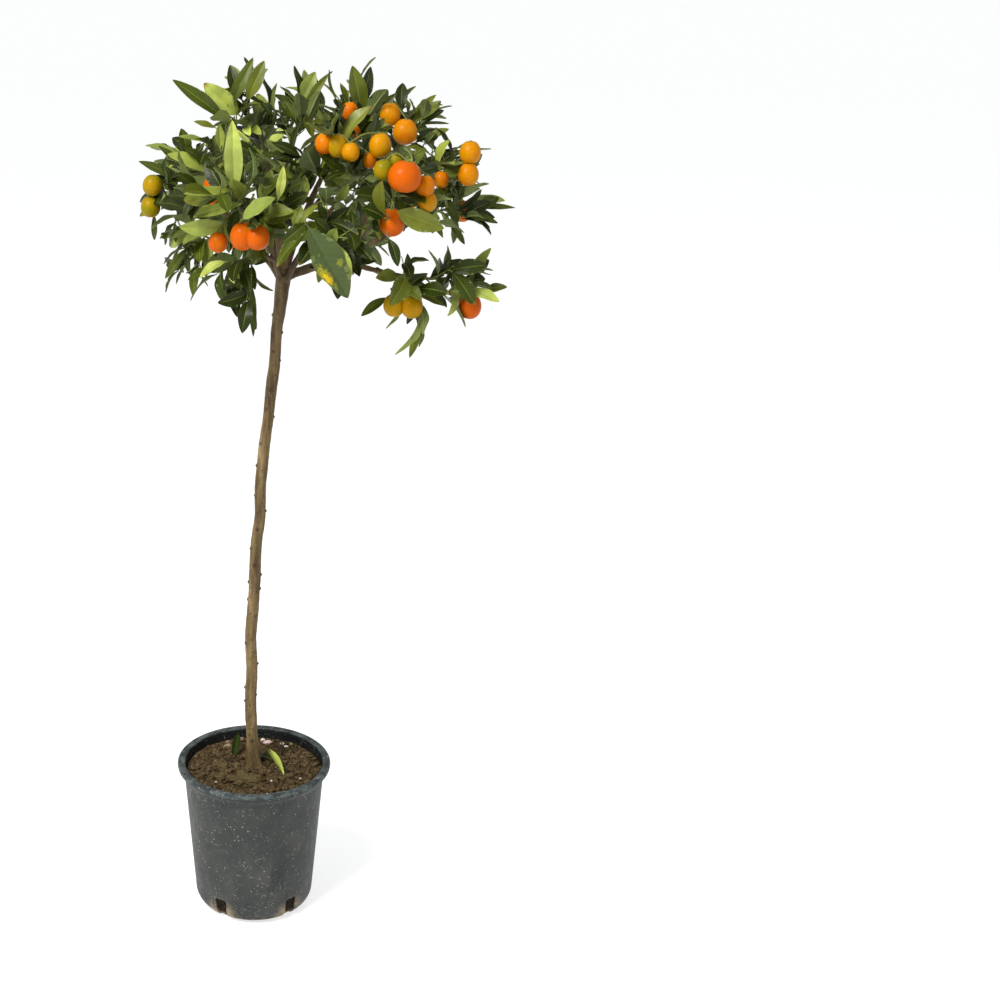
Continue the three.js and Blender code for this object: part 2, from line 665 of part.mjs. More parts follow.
// A stalk rises from the nearest twig and drops to the top of each fruit.
function growStalks(name, twigs) {
  for (const [bearer, centre, long] of FRUITS) {
    if (bearer !== name) continue;
    const top = add(centre, [0, 0, long / 2 - FRUIT.stemSink]);
    const tooLow = (twig, place, point) =>
      twig.kind === STEM && place < STALK.lowPlaces && point[2] < top[2] - STALK.drop;
    const from = nearestPlace(twigs, top, (...place) => !tooLow(...place));
    const middle = add(mean(from.point, top), [0, 0, STALK.arch * from.distance]);
    twigs.push({ kind: STALK, path: curve(from.point, middle, top, STALK.points) });
  }
}

// A spur carries each leading leaf.
function growLeading(name, twigs, leaves) {
  for (const [bearer, root, tip, width] of LEADING) {
    if (bearer !== name) continue;
    const way = unit(sub(tip, root));
    const from = nearestPlace(twigs, root, (twig) => twig.kind !== STALK || twig.leads);
    const middle = sub(root, scale(way, from.distance / 2));
    const end = add(root, scale(way, LEAF.sink));
    if (from.distance > BRANCHING.spurFrom)
      twigs.push({ kind: STALK, leads: true, path: curve(from.point, middle, end, STALK.points) });
    const long = size(sub(tip, root));
    leaves.push(leafShape(root, way, LEADING_FACE, long, width / long, LEADING_ARCH, LEADING_FOLD));
  }
}

// Side shoots leave the stem one after another, each turned on from the last.
function growShoots([name, , , reach, shoots, hang], draw, twigs) {
  const pick = ([low, high]) => low + (high - low) * draw();
  const stem = stems.get(name);
  const phase = draw() * 2 * Math.PI;
  for (let i = 0; i < shoots; i++) {
    const f = BRANCHING.from + (BRANCHING.run * (i + 0.5)) / shoots;
    const { point, way } = along(stem, f);
    const long = reach * pick(BRANCHING.reach) * (BRANCHING.taper[0] - BRANCHING.taper[1] * f);
    const lean = radians(pick(BRANCHING.lean));
    const outward = scale(unit(sub(point, HEART)), BRANCHING.outward);
    for (let attempt = 0; attempt < BRANCHING.tries; attempt++) {
      const aside = around(way, phase + i * radians(TURN) + attempt * RETRY_TURN);
      const aim = add(add(scale(way, Math.cos(lean)), scale(aside, Math.sin(lean))), outward);
      const run = unit(sub(aim, [0, 0, hang * BRANCHING.hang]));
      const reachOut = long * (1 - BRANCHING.shrink * attempt);
      const rise = BRANCHING.lift - (hang + BRANCHING.leastSag) * BRANCHING.sag;
      const tip = add(add(point, scale(run, reachOut)), [0, 0, rise * reachOut]);
      const path = curve(point, add(point, scale(run, reachOut / 2)), tip, SHOOT.points);
      if (!hasRoom(name, reach, path.slice(1), BRANCHING.clear)) continue;
      twigs.push({ kind: SHOOT, path });
      break;
    }
  }
}

// Leaves stand along a twig in a spiral, and a shoot ends in one.
function growLeaves([name, , , reach, , hang], draw, twig, twigs, leaves) {
  const pick = ([low, high]) => low + (high - low) * draw();
  const { kind, path } = twig;
  const long = pathLength(path);
  if (kind === STALK && long < STALK.leafyOver) return;
  const last = kind === STALK ? STALK.leavesTo : 1;
  const count = Math.max(1, Math.floor(((last - kind.leavesFrom) * long) / kind.spacing));
  const turn = draw() * 2 * Math.PI;
  const others = twigs.filter((other) => other !== twig);
  for (let k = 0; k <= count; k++) {
    const f = kind.leavesFrom + ((last - kind.leavesFrom) * k) / count;
    const { point, way } = along(path, Math.min(f, 1 - LEAF.sink / long));
    const atEnd = k === count && kind !== STALK;
    const length = LEAF.length * pick(LEAF.share) * (atEnd ? LEAF.endShare : 1);
    const lean = radians(atEnd ? pick(LEAF.endLean) : pick(LEAF.lean) - (LEAF.leanLoss * k) / count);
    const wide = pick(LEAF.wide);
    const roll = pick(LEAF.roll);
    const arch = pick(LEAF.arch);
    const fold = pick(LEAF.fold);
    const outward = unit(sub(point, HEART));
    for (let attempt = 0; attempt < LEAF.tries; attempt++) {
      const aside = around(way, turn + k * radians(TURN) + attempt * RETRY_TURN);
      const lined = add(scale(way, Math.cos(lean)), scale(aside, Math.sin(lean)));
      const aim = add(lined, scale(outward, LEAF.outward));
      const run = unit(sub(aim, [0, 0, hang]));
      const upper = add(sub(way, scale(aside, LEAF.faceIn)), [0, 0, LEAF.faceUp]);
      const open = add(upper, scale(outward, LEAF.faceOut));
      const face = add(open, scale(cross(run, way), roll));
      const leaf = leafShape(point, run, face, length * (1 - LEAF.shrink * attempt), wide, arch, fold);
      if (crossesAny(leaf, leaves, others) || !hasRoom(name, reach, leafProbes(leaf), 0)) continue;
      leaves.push(leaf);
      break;
    }
  }
}

function growMass(mass) {
  const [name, , , , , , seed] = mass;
  const draw = seeded(seed);
  const twigs = [{ kind: STEM, path: stems.get(name) }];
  const leaves = [];
  growStalks(name, twigs);
  growLeading(name, twigs, leaves);
  growShoots(mass, draw, twigs);
  for (const twig of twigs) growLeaves(mass, draw, twig, twigs, leaves);
  return { twigs, leaves };
}

// ---------------------------------------------------------------- foliage solids

const TWIG_SIDES = 3;
const UPPER_FACES = [0, 4, 2, 2, 4, 1, 1, 4, 3, 3, 4, 0];
const UNDER_FACES = [2, 5, 0, 1, 5, 2, 3, 5, 1, 0, 5, 3];

// A leaf is a thin wedge, folded along its midrib, with its root inside its twig.
function leafSolid({ root, tip, ridge, left, right, up, long }) {
  const under = sub(ridge, scale(up, long * LEAF.thick));
  return solidFrom([root, tip, left, right, ridge, under].flat(), [...UPPER_FACES, ...UNDER_FACES]);
}

function fruitSolid([, centre, long]) {
  const ball = upright(new THREE.SphereGeometry(long / 2, FRUIT.sides, FRUIT.rings));
  ball.scale(FRUIT.girth, FRUIT.girth, 1);
  return solidOf(ball.translate(...centre));
}

function massSolid(mass) {
  const { twigs, leaves } = growMass(mass);
  const fruits = FRUITS.filter(([bearer]) => bearer === mass[0]);
  const boughWay = endWay(limbs.get(mass[1]).path);
  const twigSolids = twigs.map(({ kind, path }) =>
    limbSolid(path, tapered(kind.radius, path.length), TWIG_SIDES, kind === STEM ? boughWay : undefined),
  );
  return mainBody(union([...twigSolids, ...leaves.map(leafSolid), ...fruits.map(fruitSolid)]));
}

// ---------------------------------------------------------------- the tree

const tree = new THREE.Group();
tree.add(meshOf(potSolid(), "pot", COLOURS.pot));
tree.add(meshOf(soilSolid(), "soil", COLOURS.soil));
for (const [name, solid] of boughSolids()) tree.add(meshOf(solid, name, COLOURS.bark));
for (const mass of MASSES) tree.add(meshOf(massSolid(mass), mass[0], COLOURS.foliage));

export default tree;
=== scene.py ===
"""A potted kumquat tree: leaves, twigs, fruit, bark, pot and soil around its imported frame."""

import math

import bmesh
import bpy
import numpy as np
from mathutils import Matrix, Vector, noise
from mathutils.kdtree import KDTree


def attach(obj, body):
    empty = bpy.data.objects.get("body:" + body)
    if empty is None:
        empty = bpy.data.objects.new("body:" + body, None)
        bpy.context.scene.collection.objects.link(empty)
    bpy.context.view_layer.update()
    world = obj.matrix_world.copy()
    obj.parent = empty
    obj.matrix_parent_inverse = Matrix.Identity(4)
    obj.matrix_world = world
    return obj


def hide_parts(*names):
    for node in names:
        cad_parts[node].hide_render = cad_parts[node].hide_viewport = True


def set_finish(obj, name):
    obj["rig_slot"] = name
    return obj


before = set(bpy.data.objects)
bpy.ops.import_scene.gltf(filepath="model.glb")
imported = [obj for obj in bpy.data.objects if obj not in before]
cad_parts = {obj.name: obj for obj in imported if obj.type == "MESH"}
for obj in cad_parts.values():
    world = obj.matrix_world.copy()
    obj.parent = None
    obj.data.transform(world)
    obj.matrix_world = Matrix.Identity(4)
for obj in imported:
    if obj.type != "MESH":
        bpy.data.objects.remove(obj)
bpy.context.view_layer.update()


# ---------------------------------------------------------------- the plant, in millimetres

SOIL_TOP = 230.0
CLEAR = 0.3  # gap between the frame's solids
TRUNK = {"foot": (0, 5, SOIL_TOP + CLEAR), "fork": (42, 10, 1012), "bow": 16, "skew": 0.8}
TRUNK_RADIUS = {"plain": 8.4, "low": 1.0, "flare": 5.0, "flare_high": 16, "head": 2.3, "head_from": 0.9}
TRUNK_STEPS = 18

# Each bough: its parent limb, the place along the parent, its tip, the rise of its middle,
# and its radius at the root and at the tip.
BOUGHS = [
    ("right", "trunk", 1, (222, -12, 1094), -14, 7, 3.6),
    ("centre_right", "trunk", 1, (100, -6, 1165), 22, 5.6, 3.2),
    ("centre_left", "trunk", 1, (18, 4, 1176), 18, 5.6, 3.2),
    ("left", "trunk", 0.99, (-48, -6, 1108), 20, 5.2, 3),
    ("back_left", "trunk", 0.99, (8, 92, 1106), 14, 5.2, 3),
    ("back_right", "trunk", 0.985, (122, 92, 1104), 10, 5.4, 3),
    ("front_left", "trunk", 0.98, (14, -72, 1090), 12, 5, 3),
    ("front_right", "trunk", 0.985, (92, -82, 1092), 12, 5, 3),
    ("right_rising", "right", 0.52, (188, 4, 1168), 6, 4.2, 2.6),
    ("right_upper", "right", 0.8, (226, -28, 1132), 0, 3.4, 2.6),
    ("right_low", "right", 0.42, (226, -66, 1026), -8, 4.4, 2.6),
    ("right_inner", "right_low", 0.5, (188, -84, 1032), 0, 3.2, 2.4),
    ("right_front", "right", 0.56, (168, -82, 1112), 4, 3.8, 2.6),
    ("top_front", "centre_right", 0.5, (106, -62, 1146), 4, 3.6, 2.6),
    ("top_back", "centre_right", 0.62, (112, 58, 1178), 4, 3.6, 2.6),
    ("top_middle", "centre_left", 0.58, (50, 18, 1182), 6, 3.6, 2.6),
    ("left_upper", "left", 0.5, (-42, 8, 1136), 6, 3.4, 2.6),
    ("left_low", "left", 0.62, (-52, -30, 1074), 0, 3.2, 2.4),
    ("front_far_left", "front_left", 0.6, (-12, -96, 1108), 4, 3.2, 2.4),
    ("low_left", "front_left", 0.45, (4, -72, 1062), -2, 3.2, 2.4),
    ("back_far_left", "back_left", 0.5, (-36, 84, 1112), 4, 3.4, 2.6),
    ("back_low_left", "back_left", 0.6, (14, 104, 1070), 0, 3.2, 2.4),
    ("back_low_right", "back_right", 0.55, (120, 104, 1062), 0, 3.2, 2.4),
    ("heart", "centre_left", 0.3, (52, -22, 1096), 2, 3.4, 2.6),
    ("middle_right", "right", 0.28, (118, -52, 1072), 2, 3.4, 2.6),
]
BOUGH_STEP = 42  # about how long each straight step of a bough is
LEAST_STEPS = 3
HEART = np.array([85.0, 0.0, 1095.0])  # leaves and shoots turn outwards from here
CROWN_LOW = np.array([-163.0, -245.0, 915.0])
CROWN_HIGH = np.array([366.0, 245.0, 1317.0])

# Each mass: its bough, the end of its stem, its reach, its side shoots, how far its leaves hang,
# the seed of its growth, and the seed of its finer growth.
MASSES = [
    ("top_left", "centre_left", (-16, 0, 1258), 84, 3, -0.25, 60, 19),
    ("top_middle", "top_middle", (62, 30, 1246), 76, 3, -0.2, 19, 37),
    ("top_right", "centre_right", (146, -10, 1252), 80, 3, -0.25, 10, 26),
    ("top_far_right", "right_rising", (213, 20, 1230), 76, 4, -0.1, 61, 50),
    ("right_upper", "right_upper", (262, -30, 1178), 76, 4, 0, 55, 49),
    ("right_far", "right", (288, 0, 1114), 84, 3, 0.05, 8, 48),
    ("low_right", "right_low", (280, -70, 1028), 76, 4, 0, 57, 9),
    ("low_middle", "right_inner", (206, -104, 1016), 92, 3, 0.25, 106, 21),
    ("low_left", "low_left", (-14, -92, 1040), 104, 3, 0.45, 107, 14),
    ("left_low", "left_low", (-92, -34, 1066), 74, 3, 0.3, 12, 49),
    ("left_far", "left", (-122, -4, 1128), 74, 3, 0, 47, 37),
    ("left_upper", "left_upper", (-84, 24, 1176), 74, 3, -0.1, 79, 45),
    ("front_left", "front_far_left", (-32, -152, 1168), 90, 3, 0, 46, 13),
    ("front_middle", "front_left", (22, -158, 1142), 78, 4, 0, 87, 14),
    ("front_low", "front_right", (84, -176, 1100), 90, 4, 0.3, 60, 24),
    ("front_right", "right_front", (184, -146, 1146), 80, 4, 0, 56, 7),
    ("front_top", "top_front", (126, -118, 1196), 78, 4, -0.1, 7, 8),
    ("back_left", "back_far_left", (-70, 134, 1148), 80, 4, 0, 69, 30),
    ("back_middle", "back_left", (20, 176, 1142), 82, 4, 0, 56, 23),
    ("back_right", "back_right", (184, 158, 1140), 84, 4, 0, 17, 12),
    ("back_top", "top_back", (116, 112, 1200), 78, 4, -0.1, 59, 33),
    ("back_low_left", "back_low_left", (-20, 150, 1060), 78, 4, 0.35, 87, 7),
    ("back_low_right", "back_low_right", (140, 164, 1052), 78, 4, 0.35, 26, 11),
    ("heart", "heart", (56, -52, 1186), 74, 4, 0, 49, 51),
    ("middle_right", "middle_right", (128, -104, 1112), 78, 4, 0, 82, 8),
]

# The fruit of each mass: middle, length, and how ripe, from 0 green to 1 deep orange.
FRUITS = {
    "left_far": [((-138, -34, 1148), 30, 0.25), ((-143, -30, 1118), 30, 0.2)],
    "front_middle": [((-15, -172, 1104), 38, 1), ((5, -179, 1104), 34, 1)],
    "front_left": [((-46, -150, 1092), 28, 0.9)],
    "left_upper": [((-58, -30, 1146), 30, 1)],
    "front_top": [
        ((92, -128, 1218), 28, 0.8), ((110, -134, 1216), 32, 0.35), ((124, -150, 1210), 26, 0.5),
        ((164, -132, 1216), 34, 0.5),
    ],
    "top_far_right": [((184, -34, 1244), 32, 0.6), ((206, -44, 1222), 36, 0.7)],
    "front_right": [
        ((166, -172, 1190), 28, 0.15), ((184, -160, 1200), 22, 0.1), ((196, -186, 1184), 42, 1),
        ((222, -172, 1170), 28, 0.8), ((228, -160, 1147), 28, 0.5), ((180, -150, 1118), 38, 1),
    ],
    "right_upper": [((292, -62, 1197), 32, 0.6), ((290, -66, 1168), 32, 0.7)],
    "low_middle": [((188, -120, 1000), 32, 0.3), ((214, -126, 999), 32, 0.35)],
    "low_right": [((300, -84, 990), 36, 1)],
    "back_left": [((-66, 186, 1128), 34, 0.3)],
    "back_middle": [((18, 226, 1118), 36, 1)],
    "back_right": [((204, 206, 1110), 36, 1)],
    "back_top": [((112, 168, 1204), 34, 0.8)],
    "back_low_left": [((-30, 190, 1030), 34, 0.9)],
    "back_low_right": [((158, 200, 1022), 34, 0.6)],
    "right_far": [((300, 60, 1096), 32, 0.9)],
}
ALL_FRUITS = [row for rows in FRUITS.values() for row in rows]
FRUIT = {"girth": 0.88, "near": 0.46, "skin": 1.0, "sink": 1.0}

# The leaves of each mass that can be told apart in the photo: root, tip, width and hue.
LEADING = {
    "top_left": [
        ((-35, -20, 1232), (-110, -35, 1290), 22, 0.35), ((-37, -5, 1246), (-1, 0, 1316), 18, 0.4),
        ((-11, -14, 1257), (14, -12, 1313), 21, 0.48), ((-46, -50, 1199), (-47, -55, 1234), 13, 0.8),
        ((-51, -30, 1225), (-82, -30, 1234), 10, 0.5),
    ],
    "top_middle": [
        ((60, 24, 1239), (29, 14, 1265), 15, 0.35), ((62, 28, 1250), (85, 33, 1294), 22, 0.66),
        ((67, 18, 1241), (103, 20, 1293), 12, 0.45), ((70, 5, 1240), (82, 0, 1208), 13, 0.52),
    ],
    "top_right": [
        ((148, -14, 1236), (133, -18, 1307), 26, 0.45), ((135, -40, 1209), (119, -45, 1274), 18, 0.22),
        ((160, -4, 1225), (194, -12, 1270), 15, 0.25),
    ],
    "top_far_right": [
        ((215, 14, 1228), (252, 22, 1264), 12, 0.52), ((216, 2, 1227), (256, 2, 1252), 16, 0.5),
    ],
    "right_upper": [
        ((235, -22, 1207), (267, -22, 1223), 12, 0.52), ((247, -45, 1158), (308, -45, 1179), 20, 0.62),
    ],
    "right_far": [
        ((281, 0, 1112), (365, -10, 1113), 12, 0.45), ((281, -20, 1111), (339, -30, 1095), 14, 0.35),
        ((270, -20, 1098), (295, -20, 1063), 12, 0.4), ((261, -24, 1129), (284, -29, 1096), 15, 0.3),
    ],
    "low_right": [
        ((295, -72, 1028), (323, -87, 1072), 14, 0.62), ((316, -76, 1009), (348, -84, 1017), 14, 0.42),
    ],
    "low_middle": [
        ((221, -118, 1015), (260, -138, 1002), 15, 0.5), ((212, -100, 1012), (208, -100, 1067), 15, 0.3),
        ((183, -104, 1008), (146, -114, 983), 14, 0.45), ((229, -108, 978), (214, -112, 924), 12, 0.58),
    ],
    "low_left": [
        ((-37, -96, 1035), (-23, -111, 981), 18, 0.1), ((-13, -94, 1046), (-1, -106, 952), 12, 0.3),
    ],
    "left_low": [
        ((-90, -34, 1064), (-124, -44, 1020), 14, 0.42), ((-80, -44, 1043), (-86, -49, 998), 13, 0.45),
        ((-110, -32, 1098), (-109, -35, 1069), 9, 0.4),
    ],
    "left_far": [
        ((-91, -6, 1144), (-160, -8, 1177), 17, 0.3), ((-129, -8, 1122), (-160, -11, 1101), 14, 0.52),
        ((-140, -4, 1107), (-142, 28, 1060), 9, 0.4),
    ],
    "left_upper": [
        ((-95, 10, 1164), (-133, 10, 1196), 11, 0.32), ((-94, 16, 1180), (-101, 16, 1219), 18, 0.35),
        ((-63, 0, 1201), (-104, 0, 1210), 9, 0.66),
    ],
    "front_left": [
        ((-26, -152, 1151), (-28, -168, 1253), 25, 0.97), ((-25, -160, 1162), (-92, -165, 1158), 15, 0.6),
        ((-16, -160, 1144), (-79, -175, 1130), 17, 0.82),
    ],
    "front_middle": [
        ((-17, -185, 1127), (27, -210, 1161), 21, 0.7), ((31, -168, 1150), (38, -176, 1196), 12, 0.92),
    ],
    "front_low": [((66, -186, 1125), (123, -200, 1028), 47, 0.3)],
    "front_right": [
        ((171, -166, 1126), (142, -169, 1141), 26, 0.12),
        ((186, -130, 1158), (200, -125, 1101), 15, 0.35), ((176, -162, 1101), (189, -177, 1065), 15, 0.2),
    ],
    "middle_right": [((120, -114, 1123), (142, -119, 1093), 20, 0.2)],
}
LEADING_FACE = np.array([0.1, -0.75, 0.65])
LEADING_ARCH = 0.06
LEADING_FOLD = 0.22
LEADING_BROAD = 40  # a leading leaf wider than this is spotted

STEM = {"leaves_from": 0.34, "spacing": 19, "points": 4, "bend": 0.4}
SHOOT = {"leaves_from": 0.3, "spacing": 19, "points": 3}
STALK = {
    "leaves_from": 0.3, "leaves_to": 0.75, "leafy_over": 34, "spacing": 19, "points": 3,
    "arch": 0.22, "drop": 25, "low_places": 4,
}
BRANCHING = {
    "from": 0.15, "run": 0.8, "reach": (0.5, 0.78), "taper": (1.05, 0.45), "lean": (44, 76),
    "outward": 0.22, "hang": 0.5, "sag": 0.25, "least_sag": 0.05, "lift": 0.1,
    "tries": 5, "shrink": 0.08, "clear": 1.2, "spur_from": 0.3,
}
LEAF = {
    "length": 62, "share": (0.68, 1.18), "end_share": 1.1, "wide": (0.35, 0.45), "widest_at": 0.48,
    "lean": (62, 92), "lean_loss": 22, "end_lean": (10, 28), "outward": 0.16,
    "roll": (-0.25, 0.25), "arch": (0.05, 0.1), "fold": (0.12, 0.38),
    "face_in": 0.2, "face_up": 0.7, "face_out": 0.45, "sink": 1.5, "tries": 7, "shrink": 0.05,
}
# The finer twigs that only the dressed plant has, with smaller leaves. A mass whose stem ends further
# back than "behind" has one more of them on each twig, at "inner".
FINER = {
    "places": (0.4, 0.7), "inner": 0.15, "behind": -60, "reach": (16, 30), "lean": (34, 66),
    "outward": 0.2, "hang": 0.5, "tries": 4, "shrink": 0,
    "leaves": 3, "leaves_from": 0.4, "leaves_over": 0.4, "leaf_share": 0.8,
}
TURN = math.radians(137.5)  # from one leaf or shoot to the next, about what bears them
RETRY_TURN = 1.1
PLACES = 10  # along a twig where a stalk or spur may start
ROOM_GAP = 1.2  # between two masses
LIMB_GAP = 1.3
# The side of each fruit that leaves stay clear of, for a way and a share of the fruit's radius.
LIGHT = {"reach": 80, "share": 0.75, "outward": 0.6, "front": np.array([0, -1, 0.12])}
UPRIGHT = 1e-4  # under this, a direction counts as upright
Z_UP = np.array([0.0, 0.0, 1.0])


# ---------------------------------------------------------------- vectors and random draws

WORD = 0xFFFFFFFF  # the largest number of 32 bits


def seeded(seed):
    """The same stream of numbers from 0 to 1 for the same seed."""
    state = seed

    def draw():
        nonlocal state
        state = (state + 0x6D2B79F5) & WORD
        t = ((state ^ (state >> 15)) * (state | 1)) & WORD
        t ^= (t + ((t ^ (t >> 7)) * (t | 61))) & WORD
        return ((t ^ (t >> 14)) & WORD) / (WORD + 1)

    return draw


def picker(draw):
    """Draws from a span of values."""
    return lambda span: span[0] + (span[1] - span[0]) * draw()


def vector(numbers):
    return np.array(numbers, float)


def size(v):
    return math.sqrt(float(v @ v))


def unit(v):
    return v / size(v)


def curve(a, b, c, points):
    """Points along a bend from a to c that b pulls to itself."""
    shares = [i / (points - 1) for i in range(points)]
    return [a * (1 - t) ** 2 + b * (2 * t * (1 - t)) + c * t * t for t in shares]


def along(path, f):
    """The point at share f of a path's steps, and the direction there."""
    k = f * (len(path) - 1)
    i = min(int(k), len(path) - 2)
    return path[i] * (1 - (k - i)) + path[i + 1] * (k - i), unit(path[i + 1] - path[i])


def path_length(path):
    return sum(size(b - a) for a, b in zip(path, path[1:]))


def end_way(path):
    return unit(path[-1] - path[-2])


def around(way, angle):
    """A direction square to way, turned about it by angle."""
    level = np.cross(way, Z_UP)
    side = vector([1, 0, 0]) if float(level @ level) < UPRIGHT else unit(level)
    return side * math.cos(angle) + np.cross(side, way) * math.sin(angle)


# ---------------------------------------------------------------- limbs, stems and their room


def trunk_point(t):
    point = vector(TRUNK["foot"]) * (1 - t) + vector(TRUNK["fork"]) * t
    point[0] -= TRUNK["bow"] * math.sin(math.pi * t ** TRUNK["skew"])
    return point


def trunk_radius(t):
    high = t * (TRUNK["fork"][2] - TRUNK["foot"][2])
    s = min(max((t - TRUNK_RADIUS["head_from"]) / (1 - TRUNK_RADIUS["head_from"]), 0), 1)
    head = TRUNK_RADIUS["head"] * s * s * (3 - 2 * s)
    flare = TRUNK_RADIUS["flare"] * math.exp(-high / TRUNK_RADIUS["flare_high"])
    return TRUNK_RADIUS["plain"] + TRUNK_RADIUS["low"] * (1 - t) ** 2 + flare + head


def grow_limbs():
    """Each limb's path in straight steps, its radii, and the bend that the path follows."""
    steps = [trunk_point(i / TRUNK_STEPS) for i in range(TRUNK_STEPS + 1)]
    radius = [TRUNK_RADIUS["plain"] + TRUNK_RADIUS[end] for end in ("low", "head")]
    limbs = {"trunk": {"path": steps, "radius": radius}}
    for name, parent, at, tip, rise, thick, thin in BOUGHS:
        root, _ = along(limbs[parent]["path"], at)
        end = vector(tip)
        bend = (root, (root + end) / 2 + Z_UP * rise, end)
        count = max(LEAST_STEPS, math.floor(size(end - root) / BOUGH_STEP + 0.5))
        limbs[name] = {"path": curve(*bend, count + 1), "radius": (thick, thin), "bend": bend}
    return limbs


def grow_stems(limbs):
    stems = {}
    for name, bough, end, *_ in MASSES:
        path = limbs[bough]["path"]
        way = end_way(path)
        root = path[-1] + way * CLEAR
        end = vector(end)
        stems[name] = curve(root, root + way * (STEM["bend"] * size(end - root)), end, STEM["points"])
    return stems


def open_side(centre):
    """The way that a fruit's open side faces: outwards, and on the front half forwards too."""
    outward = unit((centre - HEART) * (1, 1, 0))
    return unit(outward * LIGHT["outward"] + LIGHT["front"]) if centre[1] < 0 else outward


def pieces(paths):
    """The first and last points of every straight piece of these paths, and each piece's path."""
    firsts = np.array([p for path in paths for p in path[:-1]])
    lasts = np.array([p for path in paths for p in path[1:]])
    owners = np.array([i for i, path in enumerate(paths) for _ in path[1:]])
    return firsts, lasts, owners


def to_pieces(points, firsts, lasts):
    """Distances from points to straight pieces, and the share of each piece where it is nearest."""
    steps = lasts - firsts
    share = ((points[:, None] - firsts) * steps).sum(2) / (steps * steps).sum(1)
    share = np.clip(share, 0, 1)
    gaps = points[:, None] - (firsts + steps * share[..., None])
    return np.sqrt((gaps * gaps).sum(2)), share


class Room:
    """What holds each mass to its own space: the other masses, the limbs and the fruit."""

    def __init__(self):
        self.limbs = grow_limbs()
        self.stems = grow_stems(self.limbs)
        self.stem_from, self.stem_to, self.stem_owner = pieces(list(self.stems.values()))
        self.limb_from, self.limb_to, _ = pieces([limb["path"] for limb in self.limbs.values()])
        radii = [np.linspace(*limb["radius"], len(limb["path"])) for limb in self.limbs.values()]
        self.thick = np.concatenate([row[:-1] for row in radii])
        self.thin = np.concatenate([row[1:] for row in radii])
        self.fruit = np.array([centre for centre, *_ in ALL_FRUITS], float)
        self.fruit_radius = np.array([long * FRUIT["near"] for _, long, _ in ALL_FRUITS])
        self.fruit_side = np.array([open_side(centre) for centre in self.fruit])

    def in_space(self, m, points, clear):
        if (points < CROWN_LOW).any() or (points > CROWN_HIGH).any():
            return False
        distance, _ = to_pieces(points, self.stem_from, self.stem_to)
        own = distance[:, self.stem_owner == m].min(1)
        other = distance[:, self.stem_owner != m].min(1)
        return (own <= MASSES[m][3]).all() and (own + ROOM_GAP + 2 * clear < other).all()

    def clear_of_limbs(self, points, clear):
        distance, share = to_pieces(points, self.limb_from, self.limb_to)
        radius = self.thick + (self.thin - self.thick) * share
        return (distance >= radius + LIMB_GAP + clear).all()

    def clear_of_fruit(self, points):
        gaps = points[:, None] - self.fruit
        distance = np.sqrt((gaps * gaps).sum(2))
        if (distance < self.fruit_radius + FRUIT["skin"]).any():
            return False
        before = (gaps * self.fruit_side).sum(2)
        beside = distance * distance - before * before
        near = (before > 0) & (before < LIGHT["reach"])
        return not (near & (beside < (LIGHT["share"] * self.fruit_radius) ** 2)).any()

    def has_room(self, m, points, clear=0.0):
        points = np.array(points)
        fits = self.in_space(m, points, clear) and self.clear_of_limbs(points, clear)
        return fits and self.clear_of_fruit(points)


# ---------------------------------------------------------------- growth of one mass


def leaf_shape(root, way, face, long, wide, arch, fold):
    """A leaf from root along way that faces face, with its corners and its own axes."""
    up = unit(face - way * float(face @ way))
    side = np.cross(way, up)
    half = long * wide / 2
    middle = root + way * (long * LEAF["widest_at"]) + up * (long * arch + half * fold)
    return {
        "root": root, "tip": root + way * long, "ridge": root + way * (long / 2) + up * (long * arch),
        "left": middle - side * half, "right": middle + side * half,
        "way": way, "up": up, "side": side, "long": long, "half": half, "arch": arch, "fold": fold,
    }


CORNERS = ("root", "tip", "left", "right", "ridge")
LEAF_EDGES = [(0, 2), (2, 1), (1, 3), (3, 0), (0, 4), (4, 1), (2, 4), (3, 4)]
LEAF_FACES = [(0, 2, 4), (2, 1, 4), (1, 3, 4), (3, 0, 4)]


def leaf_probes(leaf):
    """The points of a leaf that must have room."""
    root, tip, left, right, ridge = (leaf[k] for k in CORNERS)
    halves = [(ridge, tip), (left, tip), (right, tip), (root, left), (root, right)]
    return [ridge, tip, left, right] + [(a + b) / 2 for a, b in halves]


def leaf_mesh(leaf):
    corners = np.array([leaf[k] for k in CORNERS])
    return corners[LEAF_EDGES], corners[LEAF_FACES]


def bulk(a, b, c, d):
    """Six times the volume between four points, by whose sign the sides of a plane are told apart."""
    return (np.cross(b - a, c - a) * (d - a)).sum(-1)


def any_cuts(edges, faces):
    """Whether any of these edges passes through any of these faces."""
    if len(edges) == 0 or len(faces) == 0:
        return False
    p, q = edges[:, None, 0], edges[:, None, 1]
    a, b, c = faces[None, :, 0], faces[None, :, 1], faces[None, :, 2]
    across = bulk(a, b, c, p) * bulk(a, b, c, q) < 0
    if not across.any():
        return False
    first, second, third = bulk(p, q, a, b), bulk(p, q, b, c), bulk(p, q, c, a)
    return bool((across & (first * second > 0) & (second * third > 0)).any())


def nearest_place(twigs, target, allowed):
    """The allowed point on the twigs that is nearest to the target, and how near it is."""
    best, point = math.inf, None
    for twig in twigs:
        for place in range(1, PLACES + 1):
            here, _ = along(twig["path"], place / PLACES)
            distance = size(here - target)
            if distance < best and allowed(twig, place, here):
                best, point = distance, here
    return point, best


